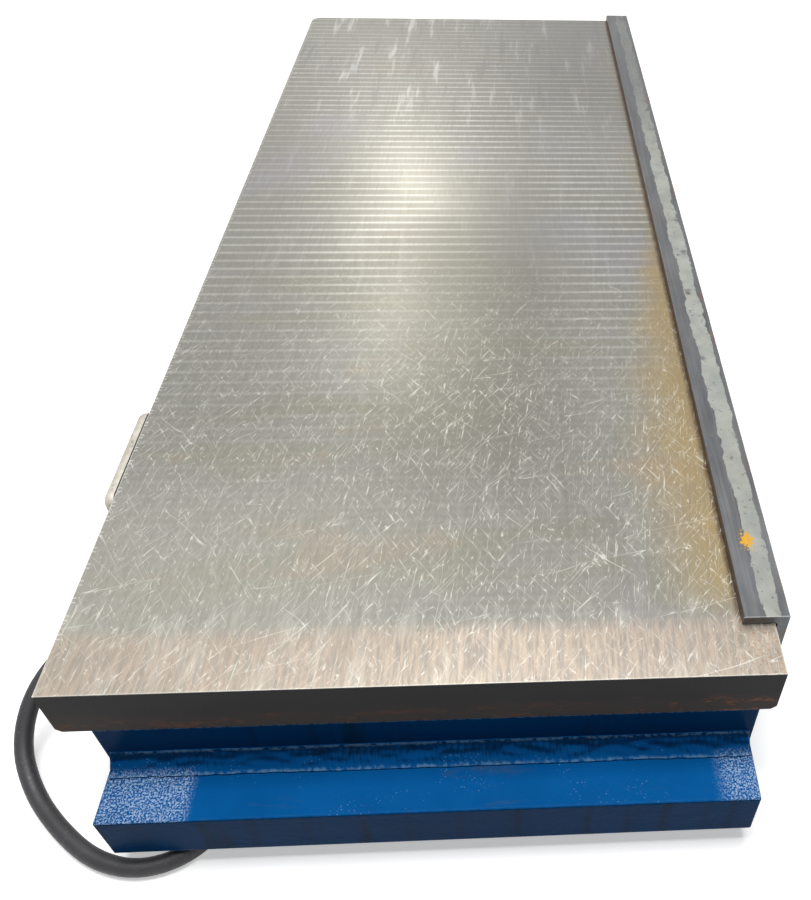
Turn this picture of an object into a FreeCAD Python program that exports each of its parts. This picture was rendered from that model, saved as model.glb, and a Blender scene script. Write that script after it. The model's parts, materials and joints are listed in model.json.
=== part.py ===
"""Electromagnetic chuck: laminated pole plate on a welded housing, with a side stop rail,
a terminal box and a rubber supply cable.

Millimetres. X runs across the chuck, Y along it from the ledge end with the cable, Z up.
The origin is the middle of the footprint, on the surface that the seating strips stand on.
"""
import FreeCAD, Part
import math
import os
import re

import Sketcher

Vector = FreeCAD.Vector

# Driving dimensions: name, value, meaning.
SIZES = [
    ("plate_width", 406.4, "pole plate across"),
    ("plate_length", 1016, "pole plate along"),
    ("plate_thick", 36.5, "pole plate depth"),
    ("plate_chamfer", 3, "lower long edges of the pole plate"),
    ("far_corner", 12, "rounded upright corners at the far end of the pole plate"),
    ("pole_pitch", 12.7, "from one separator to the next"),
    ("separator_thick", 3.2, "non-magnetic separator"),
    ("end_block_least", 36, "shortest end block, with half a separator"),
    ("relief_depth", 2, "relief under a bar over the core it must not touch"),
    ("relief_side", 8, "relief beyond each side of the core"),
    ("body_width", 378, "housing and base across"),
    ("body_offset", 4.6, "housing to the right of the pole plate's middle"),
    ("wall_height", 35, "housing walls"),
    ("side_wall", 12.7, "side wall thickness"),
    ("end_wall", 19, "end wall thickness"),
    ("base_thick", 37.5, "base plate"),
    ("ledge", 38.1, "clamping ledge beyond the pole plate"),
    ("edge_break", 1.5, "rounded edges of the base plate"),
    ("weld_leg", 12, "fillet weld at the foot of an end wall"),
    ("weld_crown", 7.2, "crest of the weld out from the wall, and up from the ledge"),
    ("weld_round", 9.6, "rounding of that crest"),
    ("strip_height", 16, "seating strip"),
    ("strip_width", 40, "seating strip"),
    ("strip_end_inset", 96, "seating strip from the end of the base"),
    ("strip_inset", 4, "seating strip from the side of the base"),
    ("strip_screw_inset", 60, "end screws from the ends of a seating strip"),
    ("core_corner", 12, "rounded upright corners of a core"),
    ("core_bolt_inset", 70, "end bolts from the ends of a core"),
    ("collar_thick", 2, "insulating collar round a core"),
    ("coil_width", 36, "winding, from the collar outwards"),
    ("coil_side_room", 12, "resin on each side of a winding"),
    ("coil_end_room", 21, "resin between a winding and an end wall"),
    ("liner_thick", 2, "insulating sheet above and below a winding"),
    ("bolt_size", 10, "M10 cap screws"),
    ("bolt_head_size", 16, "their heads"),
    ("bolt_head", 10, "height of their heads"),
    ("bolt_socket", 8, "across the flats of their sockets"),
    ("bolt_sink", 11, "depth of their counterbores"),
    ("bolt_grip", 20, "thread engaged in the piece they hold"),
    ("end_bolt_step", 120, "between the bolts of an end block"),
    ("screw_size", 6, "M6 cap screws"),
    ("screw_head_size", 10, "their heads"),
    ("screw_head", 6, "height of their heads"),
    ("screw_socket", 5, "across the flats of their sockets"),
    ("screw_sink", 7, "depth of their counterbores"),
    ("screw_grip", 10, "thread engaged in the piece they hold"),
    ("thread_gap", 0.1, "between a thread and its hole, at the side"),
    ("hole_gap", 0.4, "between a shank and its through hole, at the side"),
    ("tip_gap", 2, "beyond the tip of a thread in a blind hole"),
    ("rail_thick", 6.35, "steel angle of the stop rail"),
    ("rail_leg", 27.1, "leg that lies on the pole plate"),
    ("rail_drop", 30.5, "leg that hangs beside the pole plate"),
    ("rail_gap", 1.5, "spacers between the hanging leg and the plate"),
    ("rail_start", 34, "rail from the near end of the pole plate"),
    ("rail_root", 1.5, "radius inside the angle"),
    ("rail_tip", 1, "radius on the leg that lies on the plate"),
    ("rail_land", 0.3, "land that the rail lies on, above the ground face beside it"),
    ("rail_first_bar", 6, "bar that the first rail screw enters, an even number"),
    ("rail_bar_step", 16, "bars from one rail screw to the next, an even number"),
    ("rail_screw_drop", 12, "rail screws below the work face"),
    ("sunk_head_size", 12, "countersunk head of a rail screw"),
    ("sunk_socket", 4, "across the flats of its socket"),
    ("sunk_socket_depth", 3, "depth of its socket"),
    ("spacer_size", 14, "spacer round a rail screw"),
    ("box_front", 180, "terminal box from the near end of the pole plate"),
    ("box_length", 98, "terminal box along the housing"),
    ("box_depth", 42, "terminal box out from the housing"),
    ("box_height", 58, "terminal box"),
    ("box_drop", 3, "terminal box below the pole plate"),
    ("box_wall", 5, "its walls"),
    ("box_back", 6, "its back wall"),
    ("box_corner", 8, "its rounded corners"),
    ("box_boss", 10, "solid corners that take the cover screws"),
    ("box_screw_inset", 20, "fixing screws from the ends of the box"),
    ("box_screw_low", 14, "lower fixing screws from the bottom of the box"),
    ("box_screw_high", 44, "upper fixing screws from the bottom of the box"),
    ("cover_thick", 8, "terminal box cover"),
    ("cover_round", 6, "rounded rim of the cover"),
    ("gasket_thick", 1.5, "cover gasket"),
    ("pin_screw_size", 4, "M4 cover screws"),
    ("pin_screw_head_size", 7, "their heads"),
    ("pin_screw_head", 4, "height of their heads"),
    ("pin_screw_socket", 3, "across the flats of their sockets"),
    ("pin_screw_inset", 8, "cover screws from the sides of the box"),
    ("pin_screw_grip", 10, "thread engaged in the box"),
    ("tail_inside", 12, "cable inside the box"),
    ("bushing_size", 14, "bushing for the coil leads"),
    ("bushing_bore", 8, "its bore"),
    ("bushing_flange", 18, "its flange"),
    ("bushing_flange_thick", 2, "its flange"),
    ("block_length", 38, "terminal block"),
    ("block_height", 14, "terminal block"),
    ("block_depth", 13, "terminal block out from the back wall"),
    ("block_low", 6, "terminal block above the box floor"),
    ("block_slot", 12, "width of a terminal"),
    ("block_step", 17, "between the terminals"),
    ("block_skin", 1, "left behind the threads of the terminals"),
    ("block_rib", 5, "height of the ribs beside a terminal"),
    ("lead_size", 2.6, "insulated leads"),
    ("cable_size", 11, "supply cable"),
    ("gland_high", 29, "gland above the box bottom"),
    ("gland_out", 28, "gland from the back of the box"),
    ("gland_thread", 20, "gland thread through the box wall"),
    ("gland_hexagon", 24, "gland across the flats"),
    ("gland_flange", 5, "gland hexagon"),
    ("gland_spigot", 17, "thread under the gland nut"),
    ("gland_spigot_length", 8, "its length"),
    ("nut_length", 14, "gland nut"),
    ("nut_wall", 2, "its wall round the thread"),
    ("nut_bevel", 1, "its bevelled outer end"),
    ("nut_inset", 0.5, "its grips from its inner end"),
    ("nut_mouth", 2, "its mouth inside the foot of the strain relief"),
    ("seal_length", 3, "rubber seal in the gland nut"),
    ("locknut_thick", 4, "gland nut inside the box"),
    ("boot_length", 24, "tapered strain relief"),
    ("boot_base", 17, "strain relief at the gland"),
    ("boot_mouth", 13.4, "strain relief at the cable"),
    ("cable_gap", 0.1, "between the cable and what it passes through"),
    ("coil_turn", 136, "outer turn of the stored cable, at the middle of the cable"),
    ("coil_middle_x", 13, "middle of the stored cable"),
    ("coil_middle_y", 640, "middle of the stored cable"),
    ("coil_rim", 5, "rounding of the stored coil"),
    ("coil_stub", 45, "cable that leaves the stored coil in a straight line"),
    ("tie_thick", 1, "strap round the stored cable"),
    ("tie_width", 12, "strap round the stored cable"),
    ("tie_gap", 0.4, "between the strap and the cable, at the sides"),
    ("plug_length", 52, "plug body"),
    ("plug_size", 32, "plug body across"),
    ("plug_neck", 16, "plug at the cable"),
    ("plug_swell", 9, "radius at the end of the neck"),
    ("plug_neck_length", 15.6, "neck"),
    ("plug_flare", 23.4, "from the cable to the full size"),
    ("plug_round", 2, "bevelled face"),
    ("blade_length", 17.5, "plug blades"),
    ("blade_width", 6.4, "plug blades"),
    ("blade_thick", 1.6, "plug blades"),
    ("blade_spacing", 12.7, "between the blades"),
    ("pin_size", 4.8, "earth pin"),
    ("pin_length", 20.5, "earth pin"),
    ("pin_offset", 9.5, "earth pin from the middle"),
]

# Places worked out from the sizes: name, formula, meaning.
PLACES = [
    ("box_reach", "body_width / 2 - body_offset + box_depth + gasket_thick + cover_thick", "left"),
    ("rail_reach", "plate_width / 2 + rail_gap + rail_thick", "right"),
    ("plate_x", "(box_reach - rail_reach) / 2", "middle of the pole plate"),
    ("body_x", "plate_x + body_offset", "middle of the housing"),
    ("front_y", "-plate_length / 2", "near end of the pole plate"),
    ("base_top", "strip_height + base_thick", "foot of the walls"),
    ("plate_low", "base_top + wall_height", "underside of the pole plate"),
    ("work_face", "plate_low + plate_thick", "top of the pole plate"),
    ("bar_thick", "pole_pitch - separator_thick", "pole bar"),
    ("separator_count", "2 * floor((plate_length - 2 * end_block_least) / (2 * pole_pitch)) + 1",
     "separators along the plate, an odd number"),
    ("rail_screw_count", "floor((separator_count - rail_first_bar) / rail_bar_step) + 1", "rail screws"),
    ("rail_over", "rail_leg - rail_gap - rail_thick", "rail over the plate"),
    ("bar_count", "(separator_count - 1) / 2", "bars of one polarity"),
    ("stack_front", "-(separator_count - 1) / 2 * pole_pitch - separator_thick / 2", "first separator"),
    ("block_long", "stack_front - front_y", "end block"),
    ("strip_x", "body_width / 2 - strip_inset - strip_width / 2", "strip from the housing's middle"),
    ("strip_length", "plate_length + 2 * ledge - 2 * strip_end_inset", "seating strip"),
    ("strip_screw_step", "(strip_length - 2 * strip_screw_inset) / 3", "between the screws of a strip"),
    ("cavity_x", "body_width / 2 - side_wall", "inside of a side wall"),
    ("core_x", "cavity_x / 2", "core from the housing's middle"),
    ("core_width", "cavity_x - 2 * (coil_side_room + coil_width + collar_thick)", "magnet core"),
    ("core_length", "plate_length - 2 * (end_wall + coil_end_room + coil_width + collar_thick)",
     "magnet core"),
    ("core_bolt_step", "(core_length - 2 * core_bolt_inset) / 3", "between the bolts of a core"),
    ("relief_width", "core_width + 2 * relief_side", "relief under a bar"),
    ("window_x", "core_width / 2 + collar_thick + coil_width", "half the width of a coil"),
    ("window_y", "core_length / 2 + collar_thick + coil_width", "half the length of a coil"),
    ("wall_y", "plate_length / 2 - end_wall", "inside of an end wall"),
    ("bolt_seat", "strip_height + bolt_sink", "under the bolt heads"),
    ("end_bolt_y", "(plate_length - end_wall) / 2", "bolts of the end blocks"),
    ("box_x", "body_x - body_width / 2", "back of the terminal box"),
    ("box_y", "front_y + box_front", "near end of the terminal box"),
    ("box_z", "plate_low - box_drop - box_height", "bottom of the terminal box"),
    ("lead_z", "base_top + wall_height / 2 - box_z", "coil leads above the box bottom"),
    ("coil_radius", "coil_turn / 2", "outer turn of the stored cable"),
]

# Route of the supply cable, chosen by hand: from the strain relief down to the floor, round
# the near corner, under the base plate between the seating strips, and out at the far end.
CABLE_ROUTE = [
    (-200.0, -371.0, 56.5),
    (-206.0, -399.0, 56.0),
    (-226.0, -425.0, 50.0),
    (-244.0, -449.0, 37.0),
    (-248.5, -476.0, 19.0),
    (-236.0, -502.0, 7.0),
    (-213.0, -526.0, 5.5),
    (-186.0, -546.0, 5.5),
    (-157.0, -553.0, 5.5),
    (-129.0, -543.0, 5.5),
    (-111.0, -518.0, 5.5),
    (-103.0, -482.0, 5.5),
    (-93.0, -432.0, 5.5),
    (-76.0, -368.0, 5.5),
    (-54.0, -284.0, 5.5),
    (-32.0, -160.0, 5.5),
    (-14.0, -20.0, 5.5),
    (-8.0, 124.0, 5.5),
    (-12.0, 262.0, 5.5),
    (-24.0, 384.0, 5.5),
    (-39.0, 474.0, 5.5),
    (-51.0, 538.0, 6.5),
    (-55.0, 595.0, 6.5),
]

# Route of the short end of the cable, from the stored coil to the plug.
CABLE_END_ROUTE = [
    (58.0, 708.0, 17.5),
    (79.0, 707.5, 17.4),
    (100.0, 703.0, 16.8),
    (119.0, 695.0, 16.0),
]

ARC_SHARE = 0.45
HEX_CORNER = 1 / math.sqrt(3)

doc = FreeCAD.newDocument("ElectromagneticChuck")
sheet = doc.addObject("Spreadsheet::Sheet", "Sizes")
pieces = []


def fill_sheet():
    rows = [(name, str(value), note) for name, value, note in SIZES]
    rows += [(name, "=" + formula, note) for name, formula, note in PLACES]
    for row, (name, content, note) in enumerate(rows, start=1):
        sheet.set(f"A{row}", name)
        sheet.set(f"B{row}", content)
        sheet.set(f"C{row}", note)
        sheet.setAlias(f"B{row}", name)
    doc.recompute()


def bound(text):
    """The text with each name of the sheet written as expressions need it."""
    return re.sub(r"[a-z]\w*", lambda word: "Sizes." + word.group(0), str(text))


def place(piece, x, y="0", z="0"):
    for axis, text in (("x", x), ("y", y), ("z", z)):
        piece.setExpression("Placement.Base." + axis, bound(text))


def new_body(name, *where):
    body = doc.addObject("PartDesign::Body", name)
    body.Label = name
    body.AllowCompound = True
    if where:
        place(body, *where)
    pieces.append(body)
    return body


def origin_feature(body, role):
    return next(feature for feature in body.Origin.OriginFeatures if feature.Role == role)


def sketch_on(body, plane, level="0"):
    """A sketch on one of the body's origin planes, moved along the plane's normal by level."""
    sketch = body.newObject("Sketcher::SketchObject", body.Name + "_sketch")
    sketch.AttachmentSupport = (origin_feature(body, plane + "_Plane"), [""])
    sketch.MapMode = "FlatFace"
    sketch.setExpression("AttachmentOffset.Base.z", bound(level))
    return sketch


def pin_point(sketch, geometry, point, x, y):
    """Hold a point of the sketch at x, y from its origin."""
    for kind, text in (("DistanceX", x), ("DistanceY", y)):
        number = sketch.addConstraint(Sketcher.Constraint(kind, -1, 1, geometry, point, 1.0))
        sketch.setExpression(f"Constraints[{number}]", bound(text))


def polygon(sketch, corners):
    """A closed outline of straight sides through the corners."""
    count = len(corners)
    first = sketch.GeometryCount
    turns = [2 * math.pi * corner / count for corner in range(count)]
    start = [Vector(10 * math.cos(turn), 10 * math.sin(turn), 0) for turn in turns]
    for corner in range(count):
        sketch.addGeometry(Part.LineSegment(start[corner], start[(corner + 1) % count]), False)
    for corner in range(count):
        following = first + (corner + 1) % count
        sketch.addConstraint(Sketcher.Constraint("Coincident", first + corner, 2, following, 1))
    for corner, (x, y) in enumerate(corners):
        pin_point(sketch, first + corner, 1, x, y)


def rectangle(sketch, low_x, low_y, high_x, high_y):
    polygon(sketch, [(low_x, low_y), (high_x, low_y), (high_x, high_y), (low_x, high_y)])


def hexagon(sketch, x, y, flats):
    corner = f"({flats}) * {HEX_CORNER:.6f}"
    steps = [("1", "0"), ("0.5", "0.5"), ("-0.5", "0.5"), ("-1", "0"), ("-0.5", "-0.5"), ("0.5", "-0.5")]
    polygon(sketch, [(f"{x} + {corner} * {along}", f"{y} + ({flats}) * {up}") for along, up in steps])


def circles(sketch, centres, size):
    """Circles of one diameter round the centres."""
    for number, (x, y) in enumerate(centres):
        start = Vector(20 * number + 1, 1, 0)
        circle = sketch.addGeometry(Part.Circle(start, Vector(0, 0, 1), 1), False)
        pin_point(sketch, circle, 3, x, y)
        radius = sketch.addConstraint(Sketcher.Constraint("Radius", circle, 1.0))
        sketch.setExpression(f"Constraints[{radius}]", bound(f"({size}) / 2"))


def pad(body, sketch, length, backwards=False, taper=0):
    feature = body.newObject("PartDesign::Pad", body.Name + "_pad")
    feature.Profile = sketch
    feature.setExpression("Length", bound(length))
    feature.Reversed = backwards
    feature.TaperAngle = taper
    doc.recompute()
    return feature


def pocket(body, sketch, depth, backwards=False, taper=0):
    """Cut against the sketch plane's normal, or along it when backwards."""
    before = body.Shape.Volume
    feature = body.newObject("PartDesign::Pocket", body.Name + "_pocket")
    feature.Profile = sketch
    feature.setExpression("Length", bound(depth))
    feature.Reversed = backwards
    feature.TaperAngle = taper
    doc.recompute()
    if body.Shape.Volume >= before:
        raise RuntimeError(body.Label + ": a pocket cut nothing")
    return feature


def revolve(body, sketch, axis):
    feature = body.newObject("PartDesign::Revolution", body.Name + "_revolution")
    feature.Profile = sketch
    feature.ReferenceAxis = (sketch, [axis])
    feature.Angle = 360
    doc.recompute()
    return feature


def edges_along(body, direction, chosen):
    """Names of the straight edges along a direction whose middles are chosen, in body terms."""
    names = []
    for number, edge in enumerate(body.Tip.Shape.Edges, start=1):
        if edge.Curve.TypeId != "Part::GeomLine":
            continue
        run = edge.Vertexes[-1].Point - edge.Vertexes[0].Point
        if abs(run.normalize().dot(direction)) > 0.999 and chosen(edge.CenterOfMass):
            names.append(f"Edge{number}")
    return names


def round_edges(body, names, radius):
    rounded = body.Tip
    feature = body.newObject("PartDesign::Fillet", body.Name + "_fillet")
    feature.Base = (rounded, names)
    feature.setExpression("Radius", bound(radius))
    doc.recompute()
    if not feature.isValid():
        raise RuntimeError(body.Label + ": a fillet failed")
    return feature


def repeat(body, features, axis, spacing, count):
    """A row of the features along an origin axis."""
    feature = body.newObject("PartDesign::LinearPattern", body.Name + "_pattern")
    feature.Originals = features
    feature.Direction = (origin_feature(body, axis + "_Axis"), [""])
    feature.Mode = "Spacing"
    feature.setExpression("Offset", bound(spacing))
    feature.setExpression("Occurrences", bound(count))
    body.Tip = feature
    doc.recompute()
    return feature


def grid(xs, ys):
    return [(x, y) for x in xs for y in ys]


ALONG_X, ALONG_Y, ALONG_Z = Vector(1, 0, 0), Vector(0, 1, 0), Vector(0, 0, 1)


def everywhere(middle):
    return True


# ---------------------------------------------------------------- housing


def screw_positions(step, count):
    """Places of a row of evenly spaced screws about the middle."""
    return [f"{step} * {number - (count - 1) / 2}" for number in range(count)]


END_BOLTS = [(x, "0") for x in screw_positions("end_bolt_step", 3)]
CORE_BOLTS = grid(("-core_x", "core_x"), screw_positions("core_bolt_step", 4))
STRIP_SCREWS = [("0", y) for y in screw_positions("strip_screw_step", 4)]
BOX_SCREW_ENDS = ("box_screw_inset", "box_length - box_screw_inset")
TERMINALS = screw_positions("block_step", 2)
TERMINAL_CENTRES = [(y, "block_height / 2") for y in TERMINALS]


def shifted(centres, x, y):
    return [(f"{x} + {left}", f"{y} + {along}") for left, along in centres]


def make_base_plate():
    body = new_body("base_plate", "body_x", "0", "strip_height")
    outline = sketch_on(body, "XY")
    half_long = "plate_length / 2 + ledge"
    rectangle(outline, "-body_width / 2", f"-({half_long})", "body_width / 2", half_long)
    pad(body, outline, "base_thick")
    top = sheet.get("base_thick")
    upper = [name for axis in (ALONG_X, ALONG_Y)
             for name in edges_along(body, axis, lambda middle: middle.z > top / 2)]
    upright = edges_along(body, ALONG_Z, everywhere)
    round_edges(body, upper + upright, "edge_break")
    end_bolts = shifted(END_BOLTS, "0", "-end_bolt_y") + shifted(END_BOLTS, "0", "end_bolt_y")
    bolts = end_bolts + CORE_BOLTS
    for size, depth in (("bolt_head_size + 2 * hole_gap", "bolt_sink"),
                        ("bolt_size + 2 * hole_gap", "base_thick")):
        holes = sketch_on(body, "XY")
        circles(holes, bolts, size)
        pocket(body, holes, depth, backwards=True)
    threads = sketch_on(body, "XY")
    circles(threads, shifted(STRIP_SCREWS, "-strip_x", "0") + shifted(STRIP_SCREWS, "strip_x", "0"),
            "screw_size + 2 * thread_gap")
    pocket(body, threads, "screw_grip + tip_gap", backwards=True)
    box_threads = sketch_on(body, "YZ", "-body_width / 2")
    level = "box_z + box_screw_low - strip_height"
    circles(box_threads, [(f"box_y + {y}", level) for y in BOX_SCREW_ENDS],
            "screw_size + 2 * thread_gap")
    pocket(body, box_threads, "screw_grip + tip_gap", backwards=True)


def make_walls():
    for name, y in (("end_wall_front", "-end_bolt_y"), ("end_wall_rear", "end_bolt_y")):
        body = new_body(name, "body_x", y, "base_top")
        outline = sketch_on(body, "XY")
        rectangle(outline, "-body_width / 2", "-end_wall / 2", "body_width / 2", "end_wall / 2")
        circles(outline, END_BOLTS, "bolt_size + 2 * hole_gap")
        pad(body, outline, "wall_height")
    for name, x in (("side_wall_left", "body_x - body_width / 2"),
                    ("side_wall_right", "body_x + body_width / 2 - side_wall")):
        body = new_body(name, x, "0", "base_top")
        outline = sketch_on(body, "XY")
        rectangle(outline, "0", "-wall_y", "side_wall", "wall_y")
        pad(body, outline, "wall_height")
        if name == "side_wall_left":
            cut_box_holes(body)


def cut_box_holes(body):
    """The left wall takes the upper screws of the terminal box and the bushing of its leads."""
    threads = sketch_on(body, "YZ")
    level = "box_z + box_screw_high - base_top"
    circles(threads, [(f"box_y + {y}", level) for y in BOX_SCREW_ENDS], "screw_size + 2 * thread_gap")
    pocket(body, threads, "screw_grip + tip_gap", backwards=True)
    passage = sketch_on(body, "YZ")
    circles(passage, [("box_y + box_length / 2", "wall_height / 2")], "bushing_size + 2 * thread_gap")
    pocket(body, passage, "side_wall", backwards=True)


def make_welds():
    """Crowned fillet welds where the end walls stand on the ledges."""
    for name, y, out in (("weld_front", "front_y", "-1"), ("weld_rear", "-front_y", "1")):
        body = new_body(name, "body_x", y, "base_top")
        section = sketch_on(body, "YZ", "-body_width / 2 + edge_break")
        crown = (f"weld_crown * {out}", "weld_crown")
        polygon(section, [("0", "0"), (f"weld_leg * {out}", "0"), crown, ("0", "weld_leg")])
        pad(body, section, "body_width - 2 * edge_break")
        inside = sheet.get("weld_crown") / 2
        crest = edges_along(body, ALONG_X, lambda m: m.z > inside and abs(m.y) > inside)
        round_edges(body, crest, "weld_round")


def make_strips():
    for side, x in (("left", "body_x - strip_x"), ("right", "body_x + strip_x")):
        body = new_body("seating_strip_" + side, x, "0", "0")
        outline = sketch_on(body, "XY")
        rectangle(outline, "-strip_width / 2", "-strip_length / 2", "strip_width / 2", "strip_length / 2")
        pad(body, outline, "strip_height")
        for size, depth in (("screw_head_size + 2 * hole_gap", "screw_sink"),
                            ("screw_size + 2 * hole_gap", "strip_height")):
            holes = sketch_on(body, "XY")
            circles(holes, STRIP_SCREWS, size)
            pocket(body, holes, depth, backwards=True)
        screws("strip_screws_" + side, "XY", STRIP_SCREWS, SMALL_SCREW,
               "strip_height - screw_sink + screw_grip", (x, "0", "screw_sink"))


# ---------------------------------------------------------------- screws

BOLT = ("bolt_size", "bolt_head_size", "bolt_head", "bolt_socket")
SMALL_SCREW = ("screw_size", "screw_head_size", "screw_head", "screw_socket")
COVER_SCREW = ("pin_screw_size", "pin_screw_head_size", "pin_screw_head", "pin_screw_socket")


def screws(name, plane, centres, kind, length, seat):
    """Socket head cap screws: shanks along the plane's normal from the seat, heads behind it."""
    size, head_size, head, socket = kind
    body = new_body(name, *seat)
    shanks = sketch_on(body, plane)
    circles(shanks, centres, size)
    pad(body, shanks, length)
    heads = sketch_on(body, plane)
    circles(heads, centres, head_size)
    pad(body, heads, head, backwards=True)
    sockets = sketch_on(body, plane, "-" + head)
    for x, y in centres:
        hexagon(sockets, x, y, socket)
    pocket(body, sockets, f"{head} / 2", backwards=True)
    return body


def make_bolts():
    length = "plate_low + bolt_grip - bolt_seat"
    for end, y in (("front", "-end_bolt_y"), ("rear", "end_bolt_y")):
        screws("plate_bolts_" + end, "XY", END_BOLTS, BOLT, length, ("body_x", y, "bolt_seat"))
    screws("core_bolts", "XY", CORE_BOLTS, BOLT, "base_top + bolt_grip - bolt_seat",
           ("body_x", "0", "bolt_seat"))


# ---------------------------------------------------------------- pole plate


def plate_section(sketch, land=True, relief=None):
    """The pole plate's section from its right side, with its lower edges chamfered."""
    left, chamfer = "-plate_width", "plate_chamfer"
    corners = [(f"{left} + {chamfer}", "0")]
    if relief is not None:
        middle = f"body_offset - plate_width / 2 + {relief}"
        near, far = f"{middle} - relief_width / 2", f"{middle} + relief_width / 2"
        corners += [(near, "0"), (near, "relief_depth"), (far, "relief_depth"), (far, "0")]
    corners += [(f"-{chamfer}", "0"), ("0", chamfer)]
    if land:
        corners += [("0", "plate_thick + rail_land"), ("-rail_over", "plate_thick + rail_land"),
                    ("-rail_over", "plate_thick")]
    else:
        corners.append(("0", "plate_thick"))
    polygon(sketch, corners + [(left, "plate_thick"), (left, chamfer)])


def plate_row(name, y, thick, spacing, count, relief=None):
    """A row of flat bars across the plate."""
    body = new_body(name, "plate_x + plate_width / 2", y, "plate_low")
    section = sketch_on(body, "XZ")
    plate_section(section, relief=relief)
    bar = pad(body, section, thick, backwards=True)
    repeat(body, [bar], "Y", spacing, count)
    return body


def make_pole_plate():
    plate_row("separators", "stack_front", "separator_thick", "pole_pitch", "separator_count")
    first = "stack_front + separator_thick"
    north = plate_row("pole_bars_north", first, "bar_thick", "2 * pole_pitch", "bar_count", "core_x")
    plate_row("pole_bars_south", first + " + pole_pitch", "bar_thick", "2 * pole_pitch", "bar_count",
              "-core_x")
    threads = sketch_on(north, "YZ")
    circles(threads, [("bar_thick / 2 + rail_first_bar * pole_pitch", "plate_thick - rail_screw_drop")],
            "screw_size + 2 * thread_gap")
    thread = pocket(north, threads, "screw_grip + tip_gap")
    repeat(north, [thread], "Y", "rail_bar_step * pole_pitch", "rail_screw_count")
    make_end_blocks()


def make_end_blocks():
    front = new_body("end_block_front", "plate_x + plate_width / 2", "front_y", "plate_low")
    section = sketch_on(front, "XZ")
    plate_section(section, land=False)
    pad(front, section, "block_long", backwards=True)
    land = sketch_on(front, "XY", "plate_thick")
    rectangle(land, "-rail_over", "rail_start", "0", "block_long")
    pad(front, land, "rail_land")
    rear = new_body("end_block_rear", "plate_x + plate_width / 2", "-front_y - block_long", "plate_low")
    section = sketch_on(rear, "XZ")
    plate_section(section)
    pad(rear, section, "block_long", backwards=True)
    inside, long = sheet.get("rail_over") + 0.01, sheet.get("block_long")
    corners = edges_along(rear, ALONG_Z, lambda m: m.y > long / 2 and (m.x > -0.01 or m.x < -inside))
    round_edges(rear, corners, "far_corner")
    for body, from_end in ((front, "end_wall / 2"), (rear, "block_long - end_wall / 2")):
        threads = sketch_on(body, "XY")
        circles(threads, shifted(END_BOLTS, "body_offset - plate_width / 2", from_end),
                "bolt_size + 2 * thread_gap")
        pocket(body, threads, "bolt_grip + tip_gap", backwards=True)


# ---------------------------------------------------------------- magnet


def racetrack(name, inner_x, inner_y, wall, height, corner, x, z):
    """An upright ring with rounded corners, inside and out."""
    body = new_body(name, x, "0", z)
    outline = sketch_on(body, "XY")
    rectangle(outline, f"-({inner_x} + {wall})", f"-({inner_y} + {wall})",
              f"{inner_x} + {wall}", f"{inner_y} + {wall}")
    rectangle(outline, f"-({inner_x})", f"-({inner_y})", inner_x, inner_y)
    pad(body, outline, height)
    limit = body.Shape.BoundBox.XLength / 2 - sheet.get(wall) / 2
    round_edges(body, edges_along(body, ALONG_Z, lambda middle: abs(middle.x) < limit), corner)
    outer = edges_along(body, ALONG_Z, lambda middle: abs(middle.x) > limit)
    round_edges(body, outer, f"{corner} + {wall}")
    return body


def make_magnet():
    for side, x in (("north", "body_x - core_x"), ("south", "body_x + core_x")):
        core = new_body("core_" + side, x, "0", "base_top")
        outline = sketch_on(core, "XY")
        rectangle(outline, "-core_width / 2", "-core_length / 2", "core_width / 2", "core_length / 2")
        pad(core, outline, "wall_height")
        round_edges(core, edges_along(core, ALONG_Z, everywhere), "core_corner")
        threads = sketch_on(core, "XY")
        circles(threads, [("0", y) for y in screw_positions("core_bolt_step", 4)],
                "bolt_size + 2 * thread_gap")
        pocket(core, threads, "bolt_grip + tip_gap", backwards=True)
        racetrack("core_collar_" + side, "core_width / 2", "core_length / 2", "collar_thick",
                  "wall_height", "core_corner", x, "base_top")
        inner = ("core_width / 2 + collar_thick", "core_length / 2 + collar_thick")
        corner = "core_corner + collar_thick"
        racetrack("coil_" + side, *inner, "coil_width", "wall_height - 2 * liner_thick", corner, x,
                  "base_top + liner_thick")
        liner = racetrack("coil_liners_" + side, *inner, "coil_width", "liner_thick", corner, x, "base_top")
        whole = repeat(liner, [liner.Tip], "Z", "wall_height - liner_thick", "2")
        whole.TransformMode = "Whole shape"
        doc.recompute()


def make_potting():
    """Resin round the coils, out to the housing walls."""
    body = new_body("potting", "body_x", "0", "base_top")
    outline = sketch_on(body, "XY")
    rectangle(outline, "-cavity_x", "-wall_y", "cavity_x", "wall_y")
    pad(body, outline, "wall_height")
    windows = sketch_on(body, "XY")
    for middle in ("-core_x", "core_x"):
        rectangle(windows, f"{middle} - window_x", "-window_y", f"{middle} + window_x", "window_y")
    pocket(body, windows, "wall_height", backwards=True)
    limit = sheet.get("cavity_x") - 0.01
    corners = edges_along(body, ALONG_Z, lambda middle: abs(middle.x) < limit)
    round_edges(body, corners, "core_corner + collar_thick + coil_width")


# ---------------------------------------------------------------- stop rail


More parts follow.
